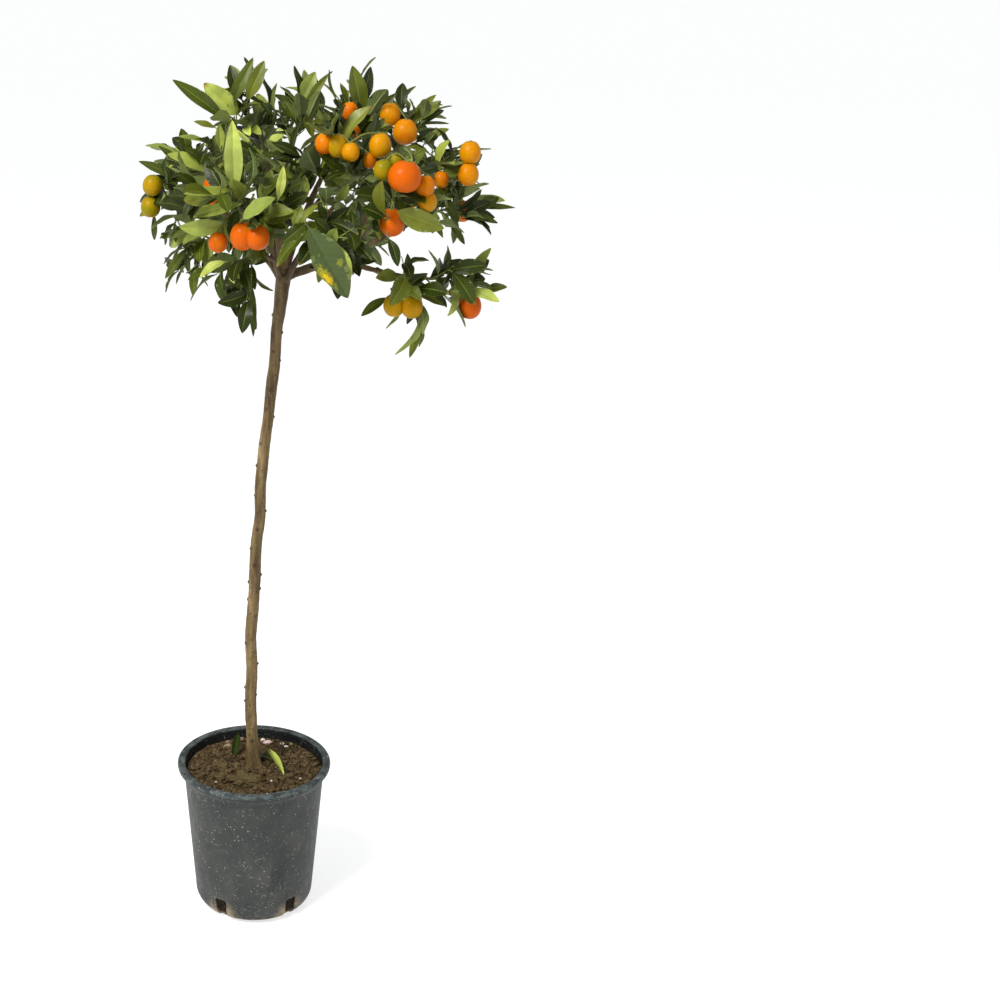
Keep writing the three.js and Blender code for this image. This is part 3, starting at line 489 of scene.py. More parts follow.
class Growth:
    """One mass of foliage: its twigs and leaves, each found room for in turn."""

    def __init__(self, room, m):
        self.room, self.m = room, m
        self.name, _, _, self.reach, self.shoots, self.hang, seed, self.finer_seed = MASSES[m]
        self.stem = room.stems[self.name]
        self.start(seed, LEAF["length"])
        self.twigs, self.leaves = [], []
        self.add_twig("stem", self.stem)
        self.grow_stalks()
        self.grow_leading()
        self.edges = [e for leaf in self.leaves for e in leaf_mesh(leaf)[0]]
        self.faces = [f for leaf in self.leaves for f in leaf_mesh(leaf)[1]]
        self.grow_shoots()
        for twig in list(self.twigs):
            self.grow_leaves(twig)

    def start(self, seed, leaf_length):
        self.draw = seeded(seed)
        self.pick = picker(self.draw)
        self.leaf_length = leaf_length

    def add_twig(self, kind, path):
        self.twigs.append({"kind": kind, "path": path})
        return self.twigs[-1]

    def grow_stalks(self):
        """A stalk rises from the nearest twig and drops to the top of each fruit."""
        for centre, long, _ in FRUITS.get(self.name, ()):
            top = vector(centre) + Z_UP * (long / 2 - FRUIT["sink"])

            def allowed(twig, place, point):
                low = twig["kind"] == "stem" and place < STALK["low_places"]
                return not (low and point[2] < top[2] - STALK["drop"])

            start, distance = nearest_place(self.twigs, top, allowed)
            middle = (start + top) / 2 + Z_UP * (STALK["arch"] * distance)
            self.add_twig("stalk", curve(start, middle, top, STALK["points"]))

    def grow_leading(self):
        """A spur carries each leading leaf."""
        for root, tip, width, hue in LEADING.get(self.name, ()):
            root, tip = vector(root), vector(tip)
            way, long = unit(tip - root), size(tip - root)
            start, distance = nearest_place(self.twigs, root, lambda twig, *_: twig["kind"] != "stalk")
            if distance > BRANCHING["spur_from"]:
                end = root + way * LEAF["sink"]
                self.add_twig("lead", curve(start, root - way * (distance / 2), end, STALK["points"]))
            leaf = leaf_shape(root, way, LEADING_FACE, long, width / long, LEADING_ARCH, LEADING_FOLD)
            leaf["hue"], leaf["spotted"] = hue, width > LEADING_BROAD
            self.leaves.append(leaf)

    def aim(self, point, way, turn, lean, outward):
        aside = around(way, turn)
        outward = unit(point - HEART) * outward
        return way * math.cos(lean) + aside * math.sin(lean) + outward, aside

    def grow_twig(self, kind, point, way, turn, long, rule, rise=0.0):
        """Turns a twig on until it finds room, or leaves it out."""
        lean = math.radians(self.pick(rule["lean"]))
        for attempt in range(rule["tries"]):
            aim, _ = self.aim(point, way, turn + attempt * RETRY_TURN, lean, rule["outward"])
            run = unit(aim - Z_UP * (self.hang * rule["hang"]))
            length = long * (1 - rule["shrink"] * attempt)
            tip = point + run * length + Z_UP * (rise * length)
            path = curve(point, point + run * (length / 2), tip, SHOOT["points"])
            if self.room.has_room(self.m, path[1:], BRANCHING["clear"]):
                return self.add_twig(kind, path)
        return None

    def grow_shoots(self):
        """Side shoots leave the stem one after another, each turned on from the last."""
        rise = BRANCHING["lift"] - (self.hang + BRANCHING["least_sag"]) * BRANCHING["sag"]
        full, less = BRANCHING["taper"]
        phase = self.draw() * math.tau
        for i in range(self.shoots):
            f = BRANCHING["from"] + BRANCHING["run"] * (i + 0.5) / self.shoots
            point, way = along(self.stem, f)
            long = self.reach * self.pick(BRANCHING["reach"]) * (full - less * f)
            self.grow_twig("shoot", point, way, phase + i * TURN, long, BRANCHING, rise)

    def leaf_fits(self, leaf, twig):
        edges, faces = leaf_mesh(leaf)
        firsts, lasts, _ = pieces([t["path"] for t in self.twigs if t is not twig])
        cuts = (
            any_cuts(np.stack([firsts, lasts], 1), faces)
            or any_cuts(edges, np.array(self.faces))
            or any_cuts(np.array(self.edges), faces)
        )
        return not cuts and self.room.has_room(self.m, leaf_probes(leaf))

    def grow_leaf(self, twig, f, turn, at_end, scale=1.0, lean_loss=0.0):
        """Draws a leaf's form, and turns it on until it finds room, or leaves it out."""
        point, way = along(twig["path"], f)
        length = self.leaf_length * self.pick(LEAF["share"]) * scale
        lean = math.radians(self.pick(LEAF["end_lean" if at_end else "lean"]) - lean_loss)
        wide, roll, arch, fold = (self.pick(LEAF[k]) for k in ("wide", "roll", "arch", "fold"))
        for attempt in range(LEAF["tries"]):
            aim, aside = self.aim(point, way, turn + attempt * RETRY_TURN, lean, LEAF["outward"])
            run = unit(aim - Z_UP * self.hang)
            face = way - aside * LEAF["face_in"] + Z_UP * LEAF["face_up"]
            face = face + unit(point - HEART) * LEAF["face_out"] + np.cross(run, way) * roll
            long = length * (1 - LEAF["shrink"] * attempt)
            leaf = leaf_shape(point, run, face, long, wide, arch, fold)
            if self.leaf_fits(leaf, twig):
                leaf["twig"] = twig
                self.leaves.append(leaf)
                edges, faces = leaf_mesh(leaf)
                self.edges.extend(edges)
                self.faces.extend(faces)
                return

    def grow_leaves(self, twig):
        """Leaves stand along a twig in a spiral, and a shoot ends in one."""
        rule = {"stem": STEM, "shoot": SHOOT}.get(twig["kind"], STALK)
        long = path_length(twig["path"])
        if rule is STALK and long < STALK["leafy_over"]:
            return
        span = rule.get("leaves_to", 1.0) - rule["leaves_from"]
        count = max(1, int(span * long / rule["spacing"]))
        turn = self.draw() * math.tau
        for k in range(count + 1):
            f = min(rule["leaves_from"] + span * k / count, 1 - LEAF["sink"] / long)
            if k == count and rule is not STALK:
                self.grow_leaf(twig, f, turn + k * TURN, True, LEAF["end_share"])
            else:
                self.grow_leaf(twig, f, turn + k * TURN, False, 1.0, LEAF["lean_loss"] * k / count)

    def grow_finer(self):
        """Finer twigs with smaller leaves fill the same space."""
        self.start(self.finer_seed, LEAF["length"] * FINER["leaf_share"])
        behind = self.stem[-1][1] > FINER["behind"]
        places = (FINER["inner"], *FINER["places"]) if behind else FINER["places"]
        for bearer in [t for t in self.twigs if t["kind"] in ("stem", "shoot")]:
            turn = self.draw() * math.tau
            for k, f in enumerate(places):
                point, way = along(bearer["path"], f)
                long = self.pick(FINER["reach"])
                twig = self.grow_twig("twiglet", point, way, turn + k * TURN, long, FINER)
                if twig:
                    self.grow_tuft(twig, 1 - LEAF["sink"] / long)

    def grow_tuft(self, twig, end):
        turn = self.draw() * math.tau
        last = FINER["leaves"] - 1
        for k in range(last):
            f = FINER["leaves_from"] + FINER["leaves_over"] * k / last
            self.grow_leaf(twig, f, turn + k * TURN, False)
        self.grow_leaf(twig, end, turn + last * TURN, True)


# ---------------------------------------------------------------- meshes

MM = 0.001  # metres to a millimetre
TUBE_END = 0.4  # how far a tube's last point stands out, as a share of its last radius


class Bodies:
    """Closed bodies gathered into one mesh. Each point carries a note for the materials."""

    def __init__(self):
        self.points, self.notes, self.faces, self.slots = [], [], [], []
        self.count = 0

    def add(self, points, faces, notes=(0, 0, 0, 0), slots=0):
        points = np.asarray(points, float)
        self.points.append(points)
        self.notes.append(np.broadcast_to(np.asarray(notes, float), (len(points), 4)))
        self.faces.extend([[i + self.count for i in face] for face in faces])
        self.slots.extend([slots] * len(faces) if isinstance(slots, int) else slots)
        self.count += len(points)

    def piece(self, name, slot, materials, sharp=None):
        mesh = bpy.data.meshes.new(name)
        mesh.from_pydata((np.concatenate(self.points) * MM).tolist(), [], self.faces)
        for material in materials:
            mesh.materials.append(material)
        mesh.polygons.foreach_set("material_index", self.slots)
        set_notes(mesh, np.concatenate(self.notes))
        return placed(name, mesh, slot, sharp)


def set_notes(mesh, notes):
    """Gives each point of a mesh its note of four numbers."""
    old = mesh.attributes.get("note")
    if old:
        mesh.attributes.remove(old)
    note = mesh.attributes.new("note", "FLOAT_COLOR", "POINT")
    note.data.foreach_set("color", notes.astype(np.float32).ravel())


def placed(name, mesh, slot, sharp=None):
    """An object of this mesh that rides on the root body, smooth but for edges over sharp degrees."""
    mesh.shade_smooth()
    if sharp:
        mesh.set_sharp_from_angle(angle=math.radians(sharp))
    made = bpy.data.objects.new(name, mesh)
    bpy.context.scene.collection.objects.link(made)
    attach(made, "root")
    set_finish(made, slot)
    return made


def changed(draft, name, material, modifier, **settings):
    """The mesh that a modifier makes of a draft, which is removed."""
    change = draft.modifiers.new("change", modifier)
    for setting, value in settings.items():
        setattr(change, setting, value)
    graph = bpy.context.evaluated_depsgraph_get()
    mesh = bpy.data.meshes.new_from_object(draft.evaluated_get(graph))
    bpy.data.objects.remove(draft)
    mesh.name = name
    mesh.materials.clear()
    mesh.materials.append(material)
    return mesh


def smoothed(path, parts):
    """A smooth line through a path's points, with this many parts to each of its steps."""
    ends = [path[0] * 2 - path[1], *path, path[-1] * 2 - path[-2]]
    line = []
    for a, b, c, d in zip(ends, ends[1:], ends[2:], ends[3:]):
        for k in range(parts):
            t = k / parts
            bend = (a * 2 - b * 5 + c * 4 - d) * t * t + (b * 3 - a - c * 3 + d) * t**3
            line.append((b * 2 + (c - a) * t + bend) / 2)
    return [*line, path[-1]]


def ringed_faces(rings, sides):
    """The faces of a closed body with a first point, rings of points, and a last point."""
    last = rings * sides + 1
    faces = []
    for k in range(sides):
        n = (k + 1) % sides
        faces.append([0, 1 + n, 1 + k])
        for low in range(1, last - sides, sides):
            faces.append([low + k, low + n, low + sides + n, low + sides + k])
        faces.append([last - sides + k, last - sides + n, last])
    return faces


def tube(path, radii, sides):
    """The points and faces of a closed round tube along a path."""
    points = [path[0]]
    ways = [unit(b - a) for a, b in zip([path[0], *path[:-1]], [*path[1:], path[-1]])]
    side = around(ways[0], 0)
    for here, way, radius in zip(path, ways, radii):
        side = unit(side - way * float(side @ way))
        other = np.cross(side, way)
        for k in range(sides):
            angle = math.tau * k / sides
            points.append(here + (side * math.cos(angle) + other * math.sin(angle)) * radius)
    points.append(path[-1] + ways[-1] * radii[-1] * TUBE_END)
    return points, ringed_faces(len(path), sides)


def lathe(profile, sides):
    """The points and faces of a closed body turned about the upright axis, from axis to axis."""
    angles = np.arange(sides) * math.tau / sides
    points = [[0, 0, profile[0][1]]]
    for r, z in profile[1:-1]:
        points.extend(zip(r * np.cos(angles), r * np.sin(angles), [z] * sides))
    points.append([0, 0, profile[-1][1]])
    return np.array(points, float), ringed_faces(len(profile) - 2, sides)


# ---------------------------------------------------------------- materials


def shade(red, green, blue):
    """A screen colour, from 0 to 255, as the light values that nodes use."""
    values = [v / 255 for v in (red, green, blue)]
    return (*(v / 12.92 if v < 0.04045 else ((v + 0.055) / 1.055) ** 2.4 for v in values), 1)


def fill_ramp(node, stops):
    """Gives a colour ramp its stops, each a position and a colour."""
    elements = node.color_ramp.elements
    while len(elements) < len(stops):
        elements.new(0.5)
    for element, (position, colour) in zip(elements, stops):
        element.position = position
        element.color = colour


class Shader:
    """A material, with short ways to make its nodes. Its colour starts as a ramp, and coats go over it."""

    def __init__(self, name, **constants):
        self.material = bpy.data.materials.new(name)
        self.material.use_nodes = True
        self.nodes = self.material.node_tree.nodes
        self.skin = self.nodes["Principled BSDF"]
        self.place = self.nodes.new("ShaderNodeTexCoord").outputs["Object"]
        for socket, value in constants.items():
            self.skin.inputs[socket.replace("_", " ")].default_value = value

    def put(self, socket, value):
        if isinstance(value, bpy.types.NodeSocket):
            self.material.node_tree.links.new(value, socket)
        else:
            socket.default_value = value

    def node(self, kind, inputs, **settings):
        node = self.nodes.new("ShaderNode" + kind)
        for setting, value in settings.items():
            setattr(node, setting, value)
        for key, value in inputs.items():
            self.put(node.inputs[key], value)
        return node

    def note(self):
        """The four numbers that each point carries."""
        note = self.node("Attribute", {}, attribute_name="note")
        return [*self.node("SeparateColor", {0: note.outputs["Color"]}).outputs, note.outputs["Alpha"]]

    def axes(self):
        return list(self.node("SeparateXYZ", {0: self.place}).outputs)

    def math(self, operation, first, second=0.0, clamp=False):
        return self.node("Math", {0: first, 1: second}, operation=operation, use_clamp=clamp).outputs[0]

    def times(self, first, second):
        return self.math("MULTIPLY", first, second)

    def plus(self, first, second):
        return self.math("ADD", first, second)

    def minus(self, first, second):
        return self.math("SUBTRACT", first, second)

    def noise(self, scale, detail, rough=0.5, stretch=None):
        where = self.place
        if stretch:
            where = self.node("VectorMath", {0: where, 1: stretch}, operation="MULTIPLY").outputs[0]
        inputs = {"Vector": where, "Scale": scale, "Detail": detail, "Roughness": rough}
        return self.node("TexNoise", inputs).outputs[0]

    def dots(self, scale, full, gone):
        """One at the middle of each of many cells, falling to nought outwards."""
        cells = self.node("TexVoronoi", {"Vector": self.place, "Scale": scale})
        return self.fall(cells.outputs["Distance"], full, gone)

    def span(self, value, low, high, start, end):
        """A value from low to high becomes one from start to end, smoothly."""
        inputs = dict(enumerate((value, low, high, start, end)))
        return self.node("MapRange", inputs, interpolation_type="SMOOTHSTEP").outputs[0]

    def rise(self, value, low, high, most=1.0):
        return self.span(value, low, high, 0.0, most)

    def fall(self, value, low, high, most=1.0):
        return self.span(value, low, high, most, 0.0)

    def ramp(self, value, stops):
        """Starts the colour. Each stop is a value and a screen colour."""
        node = self.node("ValToRGB", {0: value})
        fill_ramp(node, [(position, shade(*colour)) for position, *colour in stops])
        self.colour = node.outputs[0]

    def blend(self, share, first, second):
        return self.node("Mix", {0: share, 6: first, 7: second}, data_type="RGBA").outputs[2]

    def coat(self, share, red, green, blue):
        self.colour = self.blend(share, self.colour, shade(red, green, blue))

    def mottle(self, scale, detail, low, high, most, *colour):
        """A coat in soft patches."""
        self.coat(self.rise(self.noise(scale, detail), low, high, most), *colour)

    def dressed(self, roughness, height=None, deep=0.0, strength=1.0):
        """Ends the material. A height makes it look uneven, this deep in metres."""
        self.put(self.skin.inputs["Base Color"], self.colour)
        self.put(self.skin.inputs["Roughness"], roughness)
        if height:
            bump = self.node("Bump", {"Height": height, "Distance": deep, "Strength": strength})
            self.put(self.skin.inputs["Normal"], bump.outputs[0])
        return self.material


LEAF_HUES = (
    (0.0, 21, 30, 2), (0.2, 34, 46, 5), (0.4, 68, 80, 16), (0.55, 106, 110, 32),
    (0.7, 122, 136, 62), (0.85, 156, 167, 74), (1.0, 184, 196, 98),
)
UNDER_HUES = ((0.0, 78, 92, 52), (0.5, 108, 120, 66), (1.0, 164, 178, 96))
VEINS = {"slant": 0.16, "count": 11, "wide": 0.14}
SPOTTED = 0.995  # the one leaf whose chance is over this is spotted
# The blemishes of the spotted leaf: middle and reach along it and across it, and colour.
PATCHES = (
    ((0.64, 0.72), (0.17, 0.5), (150, 146, 40)),
    ((0.68, 0.68), (0.09, 0.34), (214, 178, 30)),
    ((0.6, -0.62), (0.06, 0.24), (122, 126, 40)),
    ((0.82, 0.6), (0.05, 0.3), (126, 132, 50)),
)


def leaf_places(paint):
    """Where a point lies on its leaf: along it, across it, from the midrib, and near a side vein."""
    along_leaf, across, chance, hue = paint.note()
    across = paint.minus(paint.times(across, 2), 1)
    aside = paint.math("ABSOLUTE", across)
    slanted = paint.minus(along_leaf, paint.times(aside, VEINS["slant"]))
    wave = paint.math("PINGPONG", paint.times(slanted, VEINS["count"]), 0.5)
    return along_leaf, across, aside, paint.fall(wave, 0.0, VEINS["wide"]), chance, hue


def leaf_patch(paint, places, middles, reaches):
    """A blotch with a ragged edge."""
    parts = []
    for where, middle, reach in zip(places, middles, reaches):
        part = paint.math("DIVIDE", paint.minus(where, middle), reach)
        parts.append(paint.math("POWER", paint.math("ABSOLUTE", part), 2))
    away = paint.math("SQRT", paint.plus(*parts))
    return paint.fall(paint.plus(away, paint.times(paint.noise(280, 4, 0.6), 2.2)), 1.5, 2.1)


def leaf_upper_material():
    paint = Shader("leaf_upper", Specular_IOR_Level=0.16, Coat_Weight=0.06, Coat_Roughness=0.2)
    along_leaf, across, aside, vein, chance, hue = leaf_places(paint)
    own = paint.times(paint.minus(chance, 0.5), 0.16)
    paint.ramp(paint.math("ADD", hue, own, True), LEAF_HUES)
    paint.mottle(45, 3, 0.35, 0.7, 0.3, 22, 30, 6)
    paint.coat(paint.times(vein, 0.1), 140, 150, 64)
    spotted = paint.math("GREATER_THAN", chance, SPOTTED)
    plain = paint.minus(1, spotted)
    paint.coat(paint.times(paint.fall(aside, 0.03, 0.08, 0.34), plain), 140, 150, 60)
    paint.coat(paint.rise(aside, 0.94, 1.0, 0.16), 150, 150, 70)
    worn_tip = paint.times(paint.rise(along_leaf, 0.9, 0.99), paint.rise(chance, 0.78, 0.8))
    paint.coat(paint.times(worn_tip, plain), 122, 98, 44)
    # Painted sheen: a grey-green veil over the spotted leaf, for its greyish gloss.
    paint.coat(paint.times(spotted, 0.4), 82, 96, 72)
    for middle, reach, tint in PATCHES:
        paint.coat(paint.times(leaf_patch(paint, (along_leaf, across), middle, reach), spotted), *tint)
    height = paint.plus(paint.times(vein, -0.5), paint.times(paint.noise(900, 2), 0.35))
    return paint.dressed(paint.span(paint.noise(30, 2), 0.3, 0.7, 0.3, 0.46), height, 0.00035, 0.6)


def leaf_under_material():
    paint = Shader("leaf_under", Specular_IOR_Level=0.15)
    _, _, aside, vein, _, hue = leaf_places(paint)
    paint.ramp(hue, UNDER_HUES)
    paint.coat(paint.times(vein, 0.25), 150, 162, 100)
    paint.coat(paint.fall(aside, 0.04, 0.1, 0.6), 164, 170, 100)
    paint.mottle(60, 3, 0.4, 0.7, 0.25, 60, 72, 38)
    return paint.dressed(0.62, paint.plus(vein, paint.times(paint.noise(700, 2), 0.4)), 0.0003, 0.6)


def twig_material():
    """Young twigs: note 1 runs from green 0 to woody 1."""
    paint = Shader("twig_bark", Specular_IOR_Level=0.35)
    woody, _, chance, _ = paint.note()
    paint.ramp(chance, ((0.0, 86, 98, 36), (1.0, 118, 134, 54)))
    green = paint.colour
    paint.ramp(chance, ((0.0, 84, 70, 44), (1.0, 104, 92, 58)))
    paint.colour = paint.blend(woody, green, paint.colour)
    paint.mottle(420, 3, 0.55, 0.7, 0.5, 60, 50, 30)
    return paint.dressed(0.55, paint.noise(500, 3), 0.0003, 0.5)


def bark_material():
    """Smooth olive-brown bark with specks, dark scars where note 1 is high, greener where note 2 is, and
    painted shade that darkens it towards the crown.
    """
    paint = Shader("bark", Specular_IOR_Level=0.3)
    scar, young, _, _ = paint.note()
    streaks = paint.noise(70, 5, 0.6, (1, 1, 0.16))
    paint.ramp(streaks, ((0.34, 62, 46, 26), (0.46, 94, 74, 46), (0.55, 116, 94, 60), (0.68, 150, 130, 94)))
    paint.mottle(14, 3, 0.45, 0.68, 0.4, 84, 80, 40)
    paint.coat(paint.times(young, 0.8), 56, 58, 24)
    specks = paint.times(paint.dots(330, 0.1, 0.22), paint.rise(paint.noise(60, 2), 0.5, 0.6))
    paint.coat(paint.times(specks, 0.7), 176, 166, 134)
    paint.coat(paint.rise(paint.noise(210, 4, 0.65), 0.56, 0.68, 0.75), 56, 42, 26)
    # Painted shade: the bark is painted darker towards the crown, where the leaves shade it.
    paint.coat(paint.rise(paint.axes()[2], *CROWN_SHADE, 0.6), 46, 32, 7)
    paint.coat(scar, 46, 34, 24)
    height = paint.plus(paint.noise(170, 6, 0.65, (1, 1, 0.3)), paint.times(specks, 0.4))
    return paint.dressed(paint.span(streaks, 0.3, 0.7, 0.72, 0.56), height, 0.0014, 0.8)


PEEL_HUES = (
    (0.08, 112, 110, 3), (0.25, 148, 118, 0), (0.36, 166, 124, 0),
    (0.6, 192, 124, 0), (0.78, 190, 103, 0), (0.95, 187, 82, 0),
)


def fruit_material():
    """Glossy pitted peel. Note 1 runs from stalk to navel, note 4 is how ripe the fruit is."""
    paint = Shader("kumquat_peel", Specular_IOR_Level=0.08, Coat_Weight=0.05, Coat_Roughness=0.2)
    down, _, _, ripe = paint.note()
    patches = paint.times(paint.minus(paint.noise(55, 3), 0.5), 0.5)
    greener_top = paint.span(down, 0.0, 0.35, -0.1, 0.0)
    paint.ramp(paint.math("ADD", paint.plus(ripe, patches), greener_top, True), PEEL_HUES)
    pits = paint.dots(720, 0.12, 0.5)
    paint.coat(paint.times(pits, 0.22), 150, 90, 10)
    paint.coat(paint.rise(down, 0.965, 0.985, 0.9), 74, 54, 22)
    paint.coat(paint.fall(down, 0.0, 0.05, 0.6), 96, 110, 36)
    return paint.dressed(paint.span(pits, 0, 1, 0.3, 0.42), paint.times(pits, -1), 0.00035, 0.7)


def calyx_material():
    paint = Shader("calyx", Specular_IOR_Level=0.3)
    paint.ramp(paint.noise(300, 3), ((0.3, 84, 96, 40), (0.7, 120, 124, 58)))
    return paint.dressed(0.6, paint.noise(800, 3), 0.0003, 0.6)


# Heights on the pot and the soil in metres, each a pair that a coat rises or falls between.
BANDS = {
    "rim": (0.2325, 0.2355), "rubbed": (0.2345, 0.241), "edge": (0.2325, 0.2345),
    "edge_top": (0.2345, 0.237), "lip": (0.2405, 0.2432), "drips": (0.06, 0.15),
    "foot": (0.0, 0.02), "dark_soil": (0.19, 0.21),
}
WALL_SIDES = (-0.0006, 0.0006)  # how far from the middle of the wall its outer and inner side look full


def near_notches(paint):
    """One close to the front of each drain notch and just under it, falling to nought further off."""
    spread = None
    for angle in notch_angles():
        spot = (MUD["out"] * math.cos(angle), MUD["out"] * math.sin(angle), MUD["high"])
        away = paint.node("VectorMath", {0: paint.place, 1: spot}, operation="DISTANCE")
        near = paint.fall(away.outputs["Value"], *MUD["reach"])
        spread = near if spread is None else paint.math("MAXIMUM", spread, near)
    return spread


def pot_material():
    """Dull charcoal plastic with a bluer scuffed rim, pale flecks, scratches, dust and dried drips, with
    painted shade under the rim's lip and on the inner wall.
    """
    paint = Shader("pot_plastic", Specular_IOR_Level=0.16)
    wide, deep, high = paint.axes()
    radius = paint.math("SQRT", paint.plus(paint.times(wide, wide), paint.times(deep, deep)))
    paint.ramp(paint.noise(16, 5, 0.65), ((0.3, 48, 51, 51), (0.52, 60, 62, 61), (0.72, 75, 76, 74)))
    paint.coat(paint.rise(high, *BANDS["rim"], 0.85), 46, 52, 52)
    patchy = paint.rise(paint.noise(60, 5, 0.75, (1, 1, 2.5)), 0.42, 0.62)
    rubbed = paint.times(paint.rise(high, *BANDS["rubbed"]), patchy)
    paint.coat(paint.times(rubbed, 0.6), 104, 114, 116)
    # Painted shade: a dark band on the underside of the rim's rolled lip.
    edge = paint.times(paint.rise(high, *BANDS["edge"]), paint.fall(high, *BANDS["edge_top"]))
    paint.coat(paint.times(edge, 0.6), 24, 27, 28)
    # Painted shade: the pot's inner wall, up to the lip, is painted near-black.
    inner_wall = paint.plus(paint.times(high, INNER_WALL["slope"]), INNER_WALL["radius"])
    within = paint.rise(paint.minus(inner_wall, radius), *WALL_SIDES)
    inner_shade = paint.times(within, paint.fall(high, *BANDS["lip"]))
    paint.coat(paint.times(inner_shade, 0.85), 19, 22, 21)
    outside = paint.minus(1.0, inner_shade)
    drag = paint.noise(170, 6, 0.72, (1, 1, 0.3))
    paint.coat(paint.times(paint.rise(drag, 0.52, 0.74, 0.26), outside), 116, 114, 106)
    flecks = paint.times(paint.dots(130, 0.06, 0.13), paint.rise(paint.noise(33, 2), 0.47, 0.53))
    paint.coat(paint.times(flecks, outside), 182, 179, 164)
    small = paint.times(paint.dots(240, 0.1, 0.2), paint.rise(paint.noise(50, 2), 0.46, 0.54))
    paint.coat(paint.times(small, 0.75), 160, 158, 148)
    level = paint.rise(paint.noise(40, 5, 0.75, (1, 1, 6)), 0.64, 0.67)
    upright = paint.rise(paint.noise(60, 4, 0.7, (3, 3, 1)), 0.655, 0.675)
    paint.coat(paint.times(paint.math("MAXIMUM", level, upright), 0.5), 140, 140, 134)
    drips = paint.rise(paint.noise(26, 3, 0.6, (1, 1, 0.12)), 0.58, 0.61)
    paint.coat(paint.times(drips, paint.fall(high, *BANDS["drips"], 0.5)), 30, 33, 33)
    dirt = paint.noise(120, 6, 0.75)
    foot = paint.times(paint.fall(high, *BANDS["foot"], 0.6), paint.rise(dirt, 0.44, 0.56))
    caked = paint.times(near_notches(paint), paint.rise(dirt, 0.4, 0.52))
    paint.coat(paint.math("MAXIMUM", foot, caked), 146, 132, 108)
    height = paint.plus(drag, paint.times(paint.noise(700, 4), 0.6))
    return paint.dressed(paint.span(drag, 0.35, 0.7, 0.42, 0.64), height, 0.0006, 0.4)


def soil_material():
    """Crumbly earth, dark below. Note 2 is how green a clod is, note 3 how pale and dry."""
    paint = Shader("potting_soil", Specular_IOR_Level=0.15)
    _, green, dry, _ = paint.note()
    crumbs = paint.noise(230, 8, 0.78)
    paint.ramp(crumbs, ((0.34, 18, 13, 6), (0.45, 68, 54, 33), (0.53, 100, 82, 54), (0.63, 166, 146, 112)))
    paint.mottle(30, 4, 0.42, 0.62, 0.4, 50, 38, 22)
    paint.coat(paint.times(dry, 0.4), 136, 116, 82)
    paint.coat(paint.times(green, 0.5), 108, 98, 62)
    paint.coat(paint.fall(paint.axes()[2], *BANDS["dark_soil"], 0.85), 16, 11, 6)
    return paint.dressed(0.95, paint.noise(520, 8, 0.78), 0.004, 1.0)


def pebble_material():
    paint = Shader("pebble", Specular_IOR_Level=0.4)
    _, _, chance, _ = paint.note()
    tints = ((0.0, 222, 220, 212), (0.45, 206, 176, 176), (0.7, 128, 98, 84), (1.0, 140, 124, 96))
    paint.ramp(chance, tints)
    paint.mottle(240, 4, 0.5, 0.72, 0.5, 134, 118, 100)
    return paint.dressed(0.6, paint.noise(500, 4), 0.0004, 0.7)


def floor_material():
    glow = {"Emission_Strength": FLOOR["glow"], "Emission_Color": (0.99, 1.0, 0.995, 1)}
    paint = Shader("studio_floor", Specular_IOR_Level=0.05, **glow)
    paint.ramp(paint.noise(220, 2), ((0.3, 202, 203, 203), (0.7, 206, 207, 207)))
    return paint.dressed(0.9)


# ---------------------------------------------------------------- leaves

LEAF_ROWS = np.array(
    [0.035, 0.075, 0.12, 0.18, 0.26, 0.35, 0.45, 0.55, 0.65, 0.745, 0.83, 0.9, 0.955, 0.985]
)
LEAF_COLUMNS = np.array([-1, -0.62, -0.07, 0, 0.07, 0.62, 1])
ON_RIB = np.abs(LEAF_COLUMNS) < 0.01
INNER = slice(1, -1)
PETIOLE = {"share": 0.075, "half": 0.75, "fades_over": 0.1}
BLADE = {
    "skew": 0.95, "full": 0.74, "cup": 1.25, "twist_from": 0.2,
    "thick": 0.42, "rib": 0.75, "rib_taper": 0.7, "groove": 0.28, "stalk": 0.8,
    "droop": (0.6, 1.6),
}
LEAF_FORM = {
    "droop": (-0.01, 0.07), "twist": (-0.4, 0.4), "bend": (-0.03, 0.03),
    "wave": (0.04, 0.13), "waves": (1.6, 3.0), "phase": (0, 6.28),
}
MOST_CHANCE = 0.99  # stays under SPOTTED
CALM = 0.4  # how much of its droop and twist a leading leaf keeps
LEAF_SHARP = 50  # degrees from which an edge of a leaf looks sharp


def leaf_form(draw, calm=False):
    """The small ways in which one leaf differs from the next."""
    pick = picker(draw)
    form = {key: pick(span) for key, span in LEAF_FORM.items()}
    form["chance"] = draw() * MOST_CHANCE
    if calm:
        form["droop"] *= CALM
        form["twist"] *= CALM
    return form


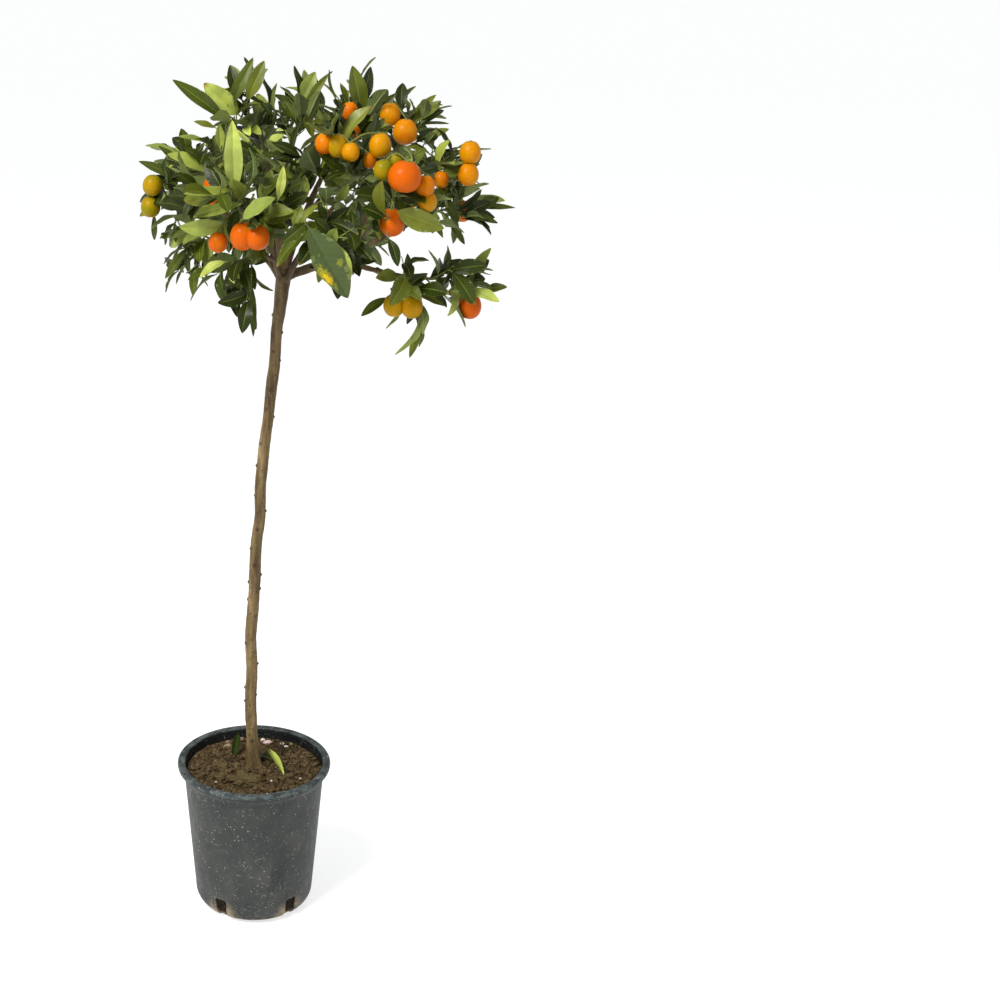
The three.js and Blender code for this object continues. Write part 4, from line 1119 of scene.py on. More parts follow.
def leaf_grid(leaf, form):
    """The upper face's points, row by row, and how far under them the lower face lies."""
    t, u = LEAF_ROWS[:, None], LEAF_COLUMNS[None, :]
    long = leaf["long"]
    bulge = np.sin(math.pi * t)
    s = np.clip((t - PETIOLE["share"]) / (1 - PETIOLE["share"]), 0, 1)
    blade = leaf["half"] * np.sin(math.pi * s ** BLADE["skew"]) ** BLADE["full"]
    half = np.maximum(blade, PETIOLE["half"] * (1 - s))
    on_blade = np.clip(s / PETIOLE["fades_over"], 0, 1)
    waves = np.sin(form["waves"] * math.tau * t + form["phase"] * np.sign(u))
    cup = leaf["fold"] * half * np.abs(u) ** BLADE["cup"]
    groove = np.where(ON_RIB, BLADE["groove"], 0) * on_blade
    rise = cup + form["wave"] * half * u * u * waves * on_blade - groove
    turn = form["twist"] * (t - BLADE["twist_from"])
    aside = u * half
    side_part = aside * np.cos(turn) - rise * np.sin(turn) + form["bend"] * long * bulge
    spine = 4 * leaf["arch"] * long * t * (1 - t)
    near, far = BLADE["droop"]
    droop = form["droop"] * long * (bulge * near - t**3 * bulge * far)
    up_part = aside * np.sin(turn) + rise * np.cos(turn) + spine + droop
    parts = zip((long * t * np.ones_like(u), side_part, up_part), ("way", "side", "up"))
    upper = leaf["root"] + sum(part[..., None] * leaf[axis] for part, axis in parts)
    rib = np.where(ON_RIB, BLADE["rib"] * (1 - BLADE["rib_taper"] * t), 0)
    return upper, BLADE["thick"] * on_blade + BLADE["stalk"] * (1 - on_blade) + rib


def leaf_faces():
    """The faces of every leaf, and whether each is on the upper side."""
    rows, columns = len(LEAF_ROWS), len(LEAF_COLUMNS)
    upper = np.arange(rows * columns).reshape(rows, columns) + 1
    inner = np.arange(rows * (columns - 2)).reshape(rows, columns - 2) + 1 + rows * columns
    lower = np.concatenate([upper[:, :1], inner, upper[:, -1:]], 1)
    tip = 1 + rows * columns + rows * (columns - 2)
    faces, kinds = [], []
    for kind, grid in ((0, upper), (1, lower[:, ::-1])):
        for a, b in zip(grid, grid[1:]):
            faces += [[a[k], b[k], b[k + 1], a[k + 1]] for k in range(columns - 1)]
        faces += [[0, grid[0][k], grid[0][k + 1]] for k in range(columns - 1)]
        faces += [[grid[-1][k + 1], grid[-1][k], tip] for k in range(columns - 1)]
        kinds += [kind] * (len(faces) - len(kinds))
    return [[int(i) for i in face] for face in faces], kinds


LEAF_MESH_FACES, LEAF_MESH_KINDS = leaf_faces()


def leaf_notes(hue, chance):
    """The notes of a leaf's points: place along it, place across it, chance and hue."""
    t, u = np.meshgrid(LEAF_ROWS, LEAF_COLUMNS / 2 + 0.5, indexing="ij")
    upper = np.stack([t.ravel(), u.ravel()], 1)
    under = np.stack([t[:, INNER].ravel(), u[:, INNER].ravel()], 1)
    spots = np.concatenate([[[0, 0.5]], upper, under, [[1, 0.5]]])
    return np.column_stack([spots, np.full(len(spots), chance), np.full(len(spots), hue)])


def add_leaf(bodies, leaf, form, hue):
    upper, depth = leaf_grid(leaf, form)
    lower = upper - depth[..., None] * leaf["up"]
    points = [[leaf["root"]], upper.reshape(-1, 3), lower[:, INNER].reshape(-1, 3), [leaf["tip"]]]
    bodies.add(np.concatenate(points), LEAF_MESH_FACES, leaf_notes(hue, form["chance"]), LEAF_MESH_KINDS)


# How often a spray has each hue, from 0 deep green to 1 young yellow-green.
SPRAY_HUES = ((0.24, 0.05), (0.25, 0.18), (0.18, 0.36), (0.13, 0.52), (0.12, 0.68), (0.08, 0.86))
HUE_SPREAD = 0.2
LEAF_SEED = 4100


def spray_hue(draw):
    left = draw()
    for share, hue in SPRAY_HUES:
        if left < share:
            return hue
        left -= share
    return SPRAY_HUES[0][1]


def add_leaves(bodies, growth):
    """The leaves of one mass. Those on one twig have hues close together."""
    draw = seeded(LEAF_SEED + growth.m)
    hues = {id(twig): spray_hue(draw) for twig in growth.twigs}
    for leaf in growth.leaves:
        form = leaf_form(draw, "hue" in leaf)
        if "hue" in leaf:
            hue = leaf["hue"]
            form["chance"] = 1.0 if leaf["spotted"] else 0.5
        else:
            hue = hues[id(leaf["twig"])] + (draw() - 0.5) * HUE_SPREAD
        add_leaf(bodies, leaf, form, min(max(hue, 0.0), 1.0))


def foliage(growths, upper, under):
    """All the leaves, in one piece to the front and one to the back."""
    for name, front in (("leaves_front", True), ("leaves_back", False)):
        bodies, masses = Bodies(), []
        for growth in growths:
            if (growth.stem[-1][1] < HEART[1]) == front:
                add_leaves(bodies, growth)
                masses.append("foliage_" + growth.name)
        made = bodies.piece(name, "foliage", [upper, under], LEAF_SHARP)
        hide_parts(*masses)


# ---------------------------------------------------------------- twigs and fruit

# Each kind of twig: its radius and how woody it is, at the root and at the tip, and its sides.
TWIG_FORMS = {
    "stem": ((2.6, 1.2), (0.9, 0.35), 8),
    "shoot": ((1.25, 0.75), (0.3, 0.0), 6),
    "stalk": ((1.2, 0.95), (0.45, 0.15), 6),
    "lead": ((1.2, 0.8), (0.3, 0.0), 6),
    "twiglet": ((0.95, 0.6), (0.1, 0.0), 6),
}
TWIG_SEED = LEAF_SEED + 500
STEM_BACK = 7.0  # how far a stem runs back into its bough
TWIG_PARTS = 4
KNUCKLE = {"every": 4, "swell": 1.16}


def twigs_piece(growths, material):
    bodies = Bodies()
    for growth in growths:
        draw = seeded(TWIG_SEED + growth.m)
        for twig in growth.twigs:
            radius, woody, sides = TWIG_FORMS[twig["kind"]]
            path = smoothed(twig["path"], TWIG_PARTS)
            if twig["kind"] == "stem":
                path.insert(0, path[0] - unit(path[1] - path[0]) * STEM_BACK)
            radii = np.linspace(*radius, len(path))
            radii[2:-1:KNUCKLE["every"]] *= KNUCKLE["swell"]
            points, faces = tube(path, radii, sides)
            woody = np.repeat(np.linspace(*woody, len(path)), sides)
            notes = np.zeros((len(points), 4))
            notes[:, 0] = [woody[0], *woody, woody[-1]]
            notes[:, 2] = draw()
            bodies.add(points, faces, notes)
    return bodies.piece("twigs", "foliage", [material])


PEEL = {
    "rings": 18, "sides": 22, "full": 0.94, "low": 0.05, "dimple": 0.05, "navel": 0.02, "end": 0.28,
    "large": 40, "broad": 1.04, "girth_spread": 0.06,
}
# More fruit half hidden among the leaves: middle, length and ripeness.
MORE_FRUITS = (
    ((128, -50, 1250), 26, 0.85), ((132, -80, 1226), 24, 0.85), ((150, -128, 1196), 22, 0.8),
    ((-50, -70, 1136), 26, 1.0), ((254, -60, 1160), 24, 0.75), ((40, 214, 1080), 32, 0.8),
    ((-84, 140, 1092), 32, 0.9), ((228, 160, 1092), 30, 0.5),
)
MORE_STALK = {"radii": (1.1, 1.0, 1.0, 1.2), "sides": 7, "over": 1, "knee": 0.5, "arch": 2, "sink": 0.5}
# The calyx is a star. Its rings, from below: height, share of the full size, and the fall of a lobe's tip.
CALYX = {"lobes": 5, "outer": 3.4, "inner": 1.9, "from": -2.0, "to": 1.4}
CALYX_RINGS = ((-1.7, 0.9, 0.5), (-0.4, 1.0, 0.5), (0.5, 0.5, 0))
CALYX_SHARP = 60
TILT = 0.16
FRUIT_SEED = 77
MORE_SEED = FRUIT_SEED + 100


def tilted(points, pivot, seed):
    """The points turned a little about a pivot, each fruit its own way."""
    draw = seeded(seed)
    turn, lean = draw() * math.tau, draw() * TILT
    axis = Vector((math.cos(turn), math.sin(turn), 0))
    matrix = np.array(Matrix.Rotation(lean, 3, axis))
    return (np.asarray(points) - pivot) @ matrix.T + pivot


def peel_profile(long, girth):
    """Radius and height of one fruit from its navel up to its stalk, about its middle."""
    rows = []
    for k in range(PEEL["rings"] + 1):
        angle = math.pi * (1 - k / PEEL["rings"])
        wide = math.sin(angle) ** PEEL["full"] * (1 - PEEL["low"] * math.cos(angle))
        high = math.cos(angle) * long / 2
        near = math.exp(-((math.sin(angle) / PEEL["end"]) ** 2))
        high += near * long * (PEEL["navel"] if angle > math.pi / 2 else -PEEL["dimple"])
        rows.append((max(wide, 0) * girth * long / 2, high))
    return rows


def add_fruit(fruit, calyxes, centre, long, ripe, girth, draw):
    """Adds a fruit and the star that it hangs from, both turned a little, and gives the fruit's top."""
    top = vector(centre) + Z_UP * (long / 2 - FRUIT["sink"])
    profile = peel_profile(long, girth)
    points, faces = lathe(profile, PEEL["sides"])
    notes = np.zeros((len(points), 4))
    notes[:, 0] = [1, *np.repeat(np.linspace(1, 0, len(profile))[1:-1], PEEL["sides"]), 0]
    notes[:, 2] = draw()
    notes[:, 3] = ripe
    seed = int(draw() * 1e6)
    fruit.add(tilted(points + vector(centre), top, seed), faces, notes)
    star, star_faces = calyx_mesh(top)
    calyxes.add(tilted(star, top, seed), star_faces)
    return top


def calyx_mesh(top):
    """A small green star that holds the fruit under its stalk."""
    points = [top + Z_UP * CALYX["from"]]
    count = CALYX["lobes"] * 4
    for high, grow, fall in CALYX_RINGS:
        for k in range(count):
            angle = math.tau * k / count
            lobe = 0.5 + 0.5 * math.cos(CALYX["lobes"] * angle)
            r = (CALYX["inner"] + (CALYX["outer"] - CALYX["inner"]) * lobe**2) * grow
            points.append(top + vector([r * math.cos(angle), r * math.sin(angle), high - lobe * fall]))
    points.append(top + Z_UP * CALYX["to"])
    return points, ringed_faces(len(CALYX_RINGS), count)


def fruit_pieces(peel, calyx, growths):
    fruit, calyxes = Bodies(), Bodies()
    for n, (centre, long, ripe) in enumerate(ALL_FRUITS):
        draw = seeded(FRUIT_SEED + n)
        girth = PEEL["broad"] if long > PEEL["large"] else FRUIT["girth"] + PEEL["girth_spread"] * draw()
        add_fruit(fruit, calyxes, centre, long, ripe, girth, draw)
    on_twigs = np.concatenate([twig["path"][1:] for growth in growths for twig in growth.twigs])
    for n, (centre, long, ripe) in enumerate(MORE_FRUITS):
        top = add_fruit(fruit, calyxes, centre, long, ripe, FRUIT["girth"], seeded(MORE_SEED + n))
        above = on_twigs[on_twigs[:, 2] > top[2] + MORE_STALK["over"]]
        start = above[np.argmin(np.linalg.norm(above - top, axis=1))]
        middle = (start + top) / 2 + Z_UP * MORE_STALK["arch"]
        knee = (start + middle) / 2 + Z_UP * MORE_STALK["knee"]
        stalk = [start, knee, middle, top - Z_UP * MORE_STALK["sink"]]
        calyxes.add(*tube(stalk, MORE_STALK["radii"], MORE_STALK["sides"]))
    fruit.piece("kumquats", "foliage", [peel])
    calyxes.piece("calyxes", "foliage", [calyx], CALYX_SHARP)


# ---------------------------------------------------------------- trunk and boughs

VOXEL = 1.25
TRUNK_LINE = {"steps": 150, "sides": 24, "below": 6, "root": 1, "above": 6, "head": 7.5}
BOUGH_LINE = {"step": 6, "least": 10, "sides": 14}
WOBBLE = {"size": 1.9, "scale": 0.014, "at": (3.1, 7.7), "finer": 1.3, "shift": Vector((0, 0, 11.3))}
COLLAR = {"swell": 0.4, "long": 12}
SCARS = {
    "from": 268, "to": 990, "every": 17, "shift": 0.35, "shifts": 5.1, "radius": 2.28, "reach": 3.8,
    "fade": 0.7, "pit": 0.5, "pit_reach": 1.52,
}
RELIEF = ((0.05, 0.9), (0.16, 0.45), (0.42, 0.22))  # scale per millimetre, depth in millimetres
RELIEF_LONG = 0.45  # the relief is drawn out upwards, as its scale is less that way
YOUNG = (1085.0, 1210.0)  # heights between which the bark turns green
CROWN_SHADE = (0.86, 1.0)  # heights in metres between which painted shade darkens the bark under the crown


def trunk_line():
    """The trunk's axis in short steps, with slight kinks."""
    line = []
    for k in range(TRUNK_LINE["steps"] + 1):
        t = k / TRUNK_LINE["steps"]
        point = trunk_point(t)
        ends = math.sin(math.pi * t) ** 0.5 * WOBBLE["size"]
        where = Vector((point[2] * WOBBLE["scale"], *WOBBLE["at"]))
        other = where * WOBBLE["finer"] + WOBBLE["shift"]
        line.append(point + vector([noise.noise(where), noise.noise(other), 0]) * 2 * ends)
    return line


def scar_points(line):
    """Where the old bud scars sit on the trunk, in a spiral."""
    spots = []
    for k in range(int((SCARS["to"] - SCARS["from"]) / SCARS["every"])):
        high = SCARS["from"] + SCARS["every"] * (k + SCARS["shift"] * math.sin(SCARS["shifts"] * k))
        t = (high - TRUNK["foot"][2]) / (TRUNK["fork"][2] - TRUNK["foot"][2])
        here, way = along(line, min(max(t, 0), 1))
        spots.append(here + around(way, k * TURN) * trunk_radius(t))
    return spots


def add_trunk(bodies):
    """Adds the trunk, from a little way under the soil's surface, and gives the line that it follows."""
    line = trunk_line()
    radii = [trunk_radius(k / TRUNK_LINE["steps"]) for k in range(len(line))]
    line.append(line[-1] + end_way(line) * TRUNK_LINE["above"])
    path = [line[0] - Z_UP * TRUNK_LINE["below"], *line]
    radii = [radii[0] + TRUNK_LINE["root"], *radii, TRUNK_LINE["head"]]
    bodies.add(*tube(path, radii, TRUNK_LINE["sides"]))
    return line


def add_bough(bodies, limb):
    """Adds a bough with a collar where it leaves its parent."""
    root, _, tip = limb["bend"]
    count = max(BOUGH_LINE["least"], int(size(tip - root) / BOUGH_LINE["step"]))
    path = curve(*limb["bend"], count)
    gone = np.array([size(p - path[0]) for p in path])
    collar = 1 + COLLAR["swell"] * np.exp(-((gone / COLLAR["long"]) ** 2))
    bodies.add(*tube(path, np.linspace(*limb["radius"], count) * collar, BOUGH_LINE["sides"]))


def bark_piece(limbs, material):
    """The trunk and boughs as one skin, with scars and the bark's relief."""
    bodies = Bodies()
    scars = scar_points(add_trunk(bodies))
    for limb in limbs.values():
        if "bend" in limb:
            add_bough(bodies, limb)
    for spot in scars:
        bodies.add(*blob(spot, SCARS["radius"], spot[2]))
    draft = bodies.piece("bark_draft", "bark", [material])
    mesh = changed(draft, "bark", material, "REMESH", mode="VOXEL", voxel_size=VOXEL * MM)
    bark_relief(mesh, scars)
    return placed("bark", mesh, "bark")


def bark_relief(mesh, scars):
    """Presses the bark's relief and scars into the skin, and notes the scars and the young wood."""
    points, normals = np.zeros((2, len(mesh.vertices) * 3), np.float32)
    mesh.vertices.foreach_get("co", points)
    mesh.vertices.foreach_get("normal", normals)
    points, normals = points.reshape(-1, 3) / MM, normals.reshape(-1, 3)
    depth = np.zeros(len(points))
    for k, point in enumerate(points):
        for scale, deep in RELIEF:
            x, y, z = point * scale
            depth[k] += deep * noise.noise(Vector((x, y, z * RELIEF_LONG)))
    tree = KDTree(len(scars))
    for k, spot in enumerate(scars):
        tree.insert(Vector(spot), k)
    tree.balance()
    near = np.array([tree.find(Vector(p))[2] for p in points])
    scar = np.clip(1 - near / SCARS["reach"], 0, 1)
    depth -= SCARS["pit"] * np.clip(1 - near / SCARS["pit_reach"], 0, 1)
    points = points + normals * depth[:, None]
    young = np.clip((points[:, 2] - YOUNG[0]) / (YOUNG[1] - YOUNG[0]), 0, 1)
    mesh.vertices.foreach_set("co", (points * MM).astype(np.float32).ravel())
    set_notes(mesh, np.stack([scar ** SCARS["fade"], young, young * 0, young * 0], 1))
    mesh.update()


# ---------------------------------------------------------------- lumps


def ball(parts):
    """The points and faces of a round ball, which each lump bends out of round."""
    shape = bmesh.new()
    bmesh.ops.create_icosphere(shape, subdivisions=parts, radius=1)
    points = np.array([v.co for v in shape.verts])
    faces = [[v.index for v in f.verts] for f in shape.faces]
    shape.free()
    return points, faces


COARSE_BALL, FINE_BALL = ball(2), ball(4)
# How far each key moves a lump through the noise, and the noise's shares and scales, from coarse to fine.
LUMP = {"step": (0.37, 0.11), "at": 4.2, "rough": ((1, 1.4), (0.35, 5), (0.2, 12))}


def blob(centre, radius, key, squash=(1, 1, 1), uneven=0.3, fine=False):
    """The points and faces of a small uneven lump. Each key gives another form."""
    shift = Vector((*(key * step for step in LUMP["step"]), LUMP["at"]))
    base, faces = FINE_BALL if fine else COARSE_BALL
    layers = LUMP["rough"] if fine else LUMP["rough"][:1]
    swell = []
    for p in base:
        rough = sum(share * noise.noise(Vector(p) * scale + shift) for share, scale in layers)
        swell.append(1 + uneven * 2 * rough)
    return base * np.array(swell)[:, None] * squash * radius + centre, faces


# ---------------------------------------------------------------- pot

POT = {
    "height": 244, "rim": 120, "rim_inner": 108, "rim_drop": 9, "roll": 4, "flare": 117.5,
    "neck": 109, "neck_drop": 24, "foot": 93, "corner": 24, "base": 69, "wall": 3,
}
POT_STEPS = {"sides": 160, "wall": 12, "corner": 12, "inner_corner": 8, "roll": 9, "notch": 5}
POT_SHARP = 32
ROLL_FROM, ROLL_TO = -35, 90  # degrees of the rim's rolled edge, from level to its top
# Steps outwards and upwards: the bead over the neck, the flare below the lip and the rim's inner edge.
BEAD = ((1.2, 0.8), (1.6, 2.4), (1.6, 3.5), (2.8, 7))
FLARE = ((-3, -5.5), (-0.8, -1.4), (-0.2, 0), (1.7, 0.7))
RIM_INSIDE = ((4.5, -0.15), (1.4, -0.6), (0, -2.2))
NECK_INSIDE = ((0.3, 2), (0, 0))
NOTCH = {
    "count": 5, "turn": 2 - 90, "wide": 20, "high": 39, "below": -1, "inner": 76, "outer": 112, "round": 4,
}
# In metres: the cone between the pot's inner and outer side, and the dried mud by the notches.
INNER_WALL = {"slope": 0.0816, "radius": 0.0896}
MUD = {"out": 0.084, "high": 0.012, "reach": (0.012, 0.034)}


def wall_radius(z):
    """The outer radius of the pot's wall at height z."""
    t = (z - POT["corner"]) / (POT["height"] - POT["neck_drop"] - POT["corner"])
    return POT["foot"] + (POT["neck"] - POT["foot"]) * t


def corner_profile(inset, steps):
    """The rounded corner from the flat base up to the wall, set inwards by inset."""
    rows = []
    for k in range(steps + 1):
        angle = math.pi / 2 * k / steps
        r = POT["base"] - inset + (POT["foot"] - POT["base"]) * math.sin(angle)
        rows.append((r, POT["corner"] * (1 - math.cos(angle)) + inset * math.cos(angle)))
    return rows


def arc_profile(x, z, radius, start, end, steps):
    """Points along an arc about x and z, from start to end degrees."""
    angles = [math.radians(start + (end - start) * k / steps) for k in range(steps + 1)]
    return [(x + radius * math.cos(a), z + radius * math.sin(a)) for a in angles]


def stepped(rows, r, z):
    """Rows of steps outwards and upwards, taken from radius r and height z."""
    return [(r + out, z + up) for out, up in rows]


def pot_profile():
    """Radius and height round the pot's wall, from the middle of its underside to its inner floor."""
    top, wall = POT["height"], POT["wall"]
    neck = top - POT["neck_drop"]
    edge = (POT["rim"] - POT["roll"], top - POT["roll"], POT["roll"], ROLL_FROM, ROLL_TO)
    return [
        (0, 0),
        (POT["base"] * 0.5, 0),
        *corner_profile(0, POT_STEPS["corner"]),
        *((wall_radius(z), z) for z in np.linspace(POT["corner"], neck, POT_STEPS["wall"])[1:]),
        *stepped(BEAD, POT["neck"], neck),
        *stepped(FLARE, POT["flare"], top - POT["rim_drop"]),
        *arc_profile(*edge, POT_STEPS["roll"]),
        *stepped(RIM_INSIDE, POT["rim_inner"], top),
        *stepped(NECK_INSIDE, POT["neck"] - wall, neck),
        *reversed(corner_profile(wall, POT_STEPS["inner_corner"])),
        (POT["base"] * 0.5, wall),
        (0, wall),
    ]


def notch_angles():
    return [math.radians(NOTCH["turn"] + 360 / NOTCH["count"] * (n + 0.5)) for n in range(NOTCH["count"])]


def notch_cutters():
    """Bars with rounded upper corners that cut the drain notches round the foot."""
    bodies = Bodies()
    wide, high, r, steps = NOTCH["wide"] / 2, NOTCH["high"], NOTCH["round"], POT_STEPS["notch"]
    outline = [(-wide, NOTCH["below"]), (wide, NOTCH["below"])]
    outline += arc_profile(wide - r, high - r, r, 0, 90, steps)
    outline += arc_profile(-wide + r, high - r, r, 90, 180, steps)
    count = len(outline)
    faces = [list(range(count))[::-1], list(range(count, 2 * count))]
    faces += [[k, (k + 1) % count, (k + 1) % count + count, k + count] for k in range(count)]
    for angle in notch_angles():
        ahead = vector([math.cos(angle), math.sin(angle), 0])
        side = vector([-math.sin(angle), math.cos(angle), 0])
        ends = [ahead * NOTCH[end] for end in ("inner", "outer")]
        bodies.add([end + side * y + Z_UP * z for end in ends for y, z in outline], faces)
    return bodies


def pot_piece(material):
    bodies = Bodies()
    bodies.add(*lathe(pot_profile(), POT_STEPS["sides"]))
    draft = bodies.piece("pot_draft", "pot", [material])
    cutters = notch_cutters().piece("notches", "pot", [])
    cut = {"operation": "DIFFERENCE", "object": cutters, "solver": "EXACT"}
    mesh = changed(draft, "nursery_pot", material, "BOOLEAN", **cut)
    bpy.data.objects.remove(cutters)
    pot = placed("nursery_pot", mesh, "pot", POT_SHARP)
    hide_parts("pot")
    return pot


# ---------------------------------------------------------------- soil

SOIL = {"slope": 3, "crown": 46, "rings": 80, "sides": 208, "rough": 4.6, "seed": 31}
SOIL_RELIEF = ((0.03, 2.2, 0.9), (0.11, 5.1, 0.7), (0.36, 9.4, 0.5))  # scale, place in the noise, share
CALM_EDGE = 8  # the relief fades out over this by the wall
CRUMBS = {
    "count": 1700, "size": (0.9, 5.0), "flat": ((0.7, 1), (0.6, 0.9)), "uneven": 0.4, "out": 0.25,
    "off_wall": 4, "key": 7.3,
}
# Clods: their middle, size, how much they are squashed, and how green they are.
CLODS = (
    ((-13, -47), 21, (1.15, 0.85, 0.42), 0.9), ((-48, -38), 13, (1.2, 0.8, 0.45), 0.5),
    ((30, -46), 10, (1.1, 0.9, 0.5), 0.1), ((-52, 4), 11, (1, 1.2, 0.45), 0.6),
    ((58, -30), 9, (1, 0.8, 0.6), 0.0), ((66, 20), 8, (1, 1, 0.6), 0.0),
    ((-12, -78), 9, (1.2, 0.7, 0.5), 0.2), ((30, -74), 8, (1, 0.8, 0.6), 0.0),
    ((-72, -14), 8, (0.8, 1, 0.6), 0.2), ((-30, 60), 10, (1.2, 1, 0.5), 0.3),
    ((40, 50), 7, (1, 1, 0.5), 0.0), ((-14, 8), 9, (1, 1, 0.5), 0.2), ((14, -8), 8, (1, 1, 0.5), 0.1),
)
CLOD = {"uneven": 0.45, "dry": 0.35, "out": 0.06, "key": 3.7, "first_key": 50}
# Pebbles: their middle, size and tint, from 0 white to 1 brown.
PEBBLES = (
    ((14.6, 88), 3.6, 0.0), ((22, 76), 5.4, 0.45), ((45, 74), 2.9, 0.05), ((52, 67), 2.9, 0.0),
    ((60, 80), 3.2, 0.95), ((-42, 88), 4.2, 0.7), ((-20, 93), 4.0, 0.75), ((-42, 69), 5.0, 1.0),
    ((27, -48), 2.4, 0.3), ((-36, -78), 2.0, 0.15), ((-58, -52), 1.7, 0.1), ((20, -84), 1.6, 0.1),
    ((72, -36), 1.8, 0.5), ((-80, 22), 2.0, 0.6),
)
PEBBLE = {"uneven": 0.25, "squash": (1.15, 0.8, 0.7), "grow": 1.1, "out": 0.65, "key": 5.1}


def soil_height(x, y):
    """The soil's uneven top."""
    r = math.hypot(x, y)
    edge = wall_radius(SOIL_TOP - SOIL["slope"]) - POT["wall"]
    fall = SOIL["slope"] * min(max((r - SOIL["crown"]) / (edge - SOIL["crown"]), 0), 1)
    rough = sum(k * noise.noise(Vector((x * scale, y * scale, at))) for scale, at, k in SOIL_RELIEF)
    calm = 1 if r < edge - CALM_EDGE else max((edge - r) / CALM_EDGE, 0)
    return SOIL_TOP - fall + SOIL["rough"] * rough * calm


def on_soil(x, y, rise):
    """The point over x and y that is this high over the soil."""
    return vector([x, y, soil_height(x, y) + rise])


def soil_bed(bodies):
    """Adds the earth with its uneven top, and gives how far out that top reaches."""
    inset = POT["wall"] + CLEAR
    edge = SOIL_TOP - SOIL["slope"]
    reach = wall_radius(edge) - inset
    profile = [(0, inset), *corner_profile(inset, POT_STEPS["inner_corner"]), (reach, edge)]
    profile += [(reach * (1 - k / SOIL["rings"]), edge) for k in range(1, SOIL["rings"])]
    points, faces = lathe([*profile, (0, edge)], SOIL["sides"])
    top = points[:, 2] >= edge - 1e-6
    points[top, 2] = [soil_height(x, y) for x, y, _ in points[top]]
    bodies.add(points, faces)
    return reach


def add_crumbs(bodies, reach):
    draw = seeded(SOIL["seed"])
    pick = picker(draw)
    least, most = CRUMBS["size"]
    for k in range(CRUMBS["count"]):
        angle, r = draw() * math.tau, (reach - CRUMBS["off_wall"]) * math.sqrt(draw())
        big = least + (most - least) * draw() ** 3
        centre = on_soil(r * math.cos(angle), r * math.sin(angle), big * CRUMBS["out"])
        squash = (1, *(pick(span) for span in CRUMBS["flat"]))
        points, faces = blob(centre, big, k * CRUMBS["key"], squash, CRUMBS["uneven"])
        bodies.add(points, faces, (0, 0, draw(), 0))


def soil_pieces(earth, pebble):
    bodies, stones = Bodies(), Bodies()
    add_crumbs(bodies, soil_bed(bodies))
    for k, (centre, big, squash, green) in enumerate(CLODS):
        low = on_soil(*centre, big * CLOD["out"])
        key = k * CLOD["key"] + CLOD["first_key"]
        points, faces = blob(low, big, key, squash, CLOD["uneven"], fine=True)
        bodies.add(points, faces, (0, green, CLOD["dry"], 0))
    soil = bodies.piece("soil_bed", "soil", [earth])
    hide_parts("soil")
    for k, (centre, big, tint) in enumerate(PEBBLES):
        low = on_soil(*centre, big * PEBBLE["out"])
        shape = (k * PEBBLE["key"], PEBBLE["squash"], PEBBLE["uneven"])
        points, faces = blob(low, big * PEBBLE["grow"], *shape)
        stones.add(points, faces, (0, 0, tint, 0))
    stones.piece("pebbles", "soil", [pebble])


# Leaves that have dropped on the soil: root, tip, width, hue and fold.
FALLEN = (
    ((-25, 58, 262), (-33, 28, 233), 14, 0.14, 0.6),
    ((24, 20, 252), (47, -36, 234), 8, 0.9, 1.0),
    ((22, 18, 250), (38, -10, 236), 6, 0.7, 1.0),
    ((8, 36, 233), (27, 10, 238), 13, 0.1, 0.4),
)
FALLEN_LEAF = {"seed": 17, "arch": 0.05, "chance": 0.9}


def fallen_piece(upper, under):
    bodies = Bodies()
    draw = seeded(FALLEN_LEAF["seed"])
    for root, tip, width, hue, fold in FALLEN:
        root, way = vector(root), vector(tip) - vector(root)
        long = size(way)
        face = vector([draw() * 0.5 - 0.2, -0.25, 1.0])
        leaf = leaf_shape(root, unit(way), face, long, width / long, FALLEN_LEAF["arch"], fold)
        form = leaf_form(draw)
        form["chance"] = FALLEN_LEAF["chance"]
        add_leaf(bodies, leaf, form, hue)
    return bodies.piece("fallen_leaves", "foliage", [upper, under], LEAF_SHARP)


# ---------------------------------------------------------------- floor, light and camera

FLOOR = {"radii": (40000, 5000, 900, 300), "thick": 40, "sides": 96, "glow": 0.66}
CAMERA = {"place": (0, -2.4, 1.532), "pitch": 70.38, "lens": 61.7, "shift": 0.246, "far": 200}
# Each lamp: its place, the point it faces, its width and height, its power and its colour.
LAMPS = (
    ((-1.3, -1.5, 2.9), (0.08, 0, 1.0), (1.1, 1.1), 108, (1.0, 0.985, 0.94)),
    ((1.9, -1.6, 2.2), (0.05, 0, 0.9), (1.2, 1.4), 9, (0.98, 0.99, 1.0)),
)
# The sky's light from the horizon, where the ramp starts, up to straight overhead.
SKY = ((0.0, 1.0), (0.14, 1.0), (0.32, 0.24), (0.75, 0.34), (1.0, 1.1))


def floor_piece():
    bodies = Bodies()
    wide, thick = FLOOR["radii"][0], FLOOR["thick"]
    rings = [(0, -thick), (wide, -thick), *((r, 0) for r in FLOOR["radii"]), (0, 0)]
    bodies.add(*lathe(rings, FLOOR["sides"]))
    floor = bodies.piece("studio_floor", "pot", [floor_material()])
    del floor["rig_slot"]


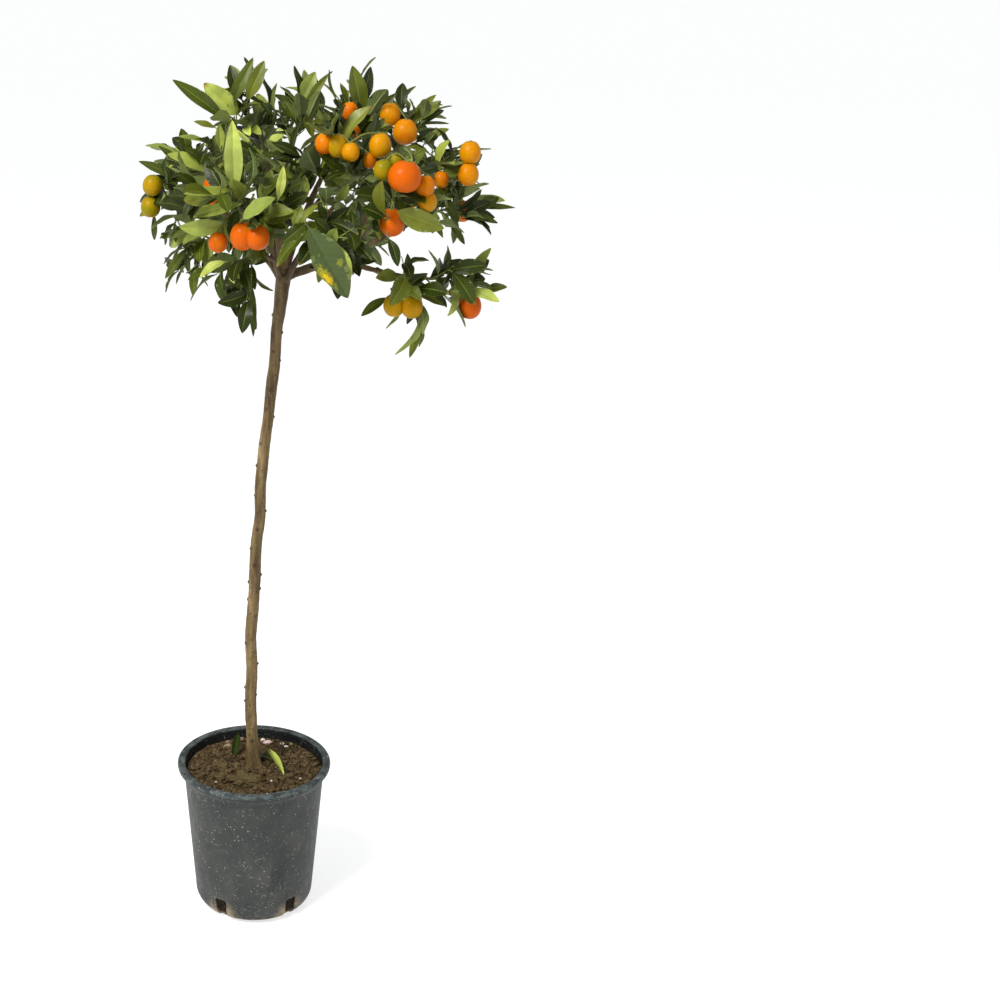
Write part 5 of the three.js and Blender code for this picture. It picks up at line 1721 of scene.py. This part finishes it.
def lamp(place, target, wide, power, colour):
    data = bpy.data.lights.new("lamp", "AREA")
    data.shape = "RECTANGLE"
    data.size, data.size_y = wide
    data.energy = power
    data.color = colour
    made = bpy.data.objects.new("lamp", data)
    made.location = place
    made.rotation_euler = (Vector(target) - Vector(place)).to_track_quat("-Z", "Y").to_euler()
    bpy.context.scene.collection.objects.link(made)


def light_sky(tree):
    """White at the horizon, dimmer higher up and bright again overhead."""
    place = tree.nodes.new("ShaderNodeTexCoord")
    parts = tree.nodes.new("ShaderNodeSeparateXYZ")
    ramp = tree.nodes.new("ShaderNodeValToRGB")
    tree.links.new(place.outputs["Generated"], parts.inputs[0])
    tree.links.new(parts.outputs["Z"], ramp.inputs[0])
    fill_ramp(ramp, [(high, (light * 0.99, light, light * 0.995, 1)) for high, light in SKY])
    tree.links.new(ramp.outputs["Color"], tree.nodes["Background"].inputs[0])


def studio():
    scene = bpy.context.scene
    scene.world = bpy.data.worlds.new("studio_sky")
    scene.world.use_nodes = True
    light_sky(scene.world.node_tree)
    for row in LAMPS:
        lamp(*row)
    data = bpy.data.cameras.new("camera")
    data.lens = CAMERA["lens"]
    data.shift_x = CAMERA["shift"]
    data.clip_end = CAMERA["far"]
    camera = bpy.data.objects.new("camera", data)
    camera.location = CAMERA["place"]
    camera.rotation_euler = (math.radians(CAMERA["pitch"]), 0, 0)
    scene.collection.objects.link(camera)
    scene.camera = camera
    scene.view_settings.view_transform = "Standard"
    scene.view_settings.look = "None"


# ---------------------------------------------------------------- the whole plant


def dress():
    room = Room()
    growths = [Growth(room, m) for m in range(len(MASSES))]
    for growth in growths:
        growth.grow_finer()
    upper, under = leaf_upper_material(), leaf_under_material()
    foliage(growths, upper, under)
    twigs_piece(growths, twig_material())
    fruit_pieces(fruit_material(), calyx_material(), growths)
    bark = bark_piece(room.limbs, bark_material())
    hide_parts("trunk", *("bough_" + name for name, *_ in BOUGHS))
    pot_piece(pot_material())
    soil_pieces(soil_material(), pebble_material())
    fallen_piece(upper, under)
    floor_piece()


studio()
dress()
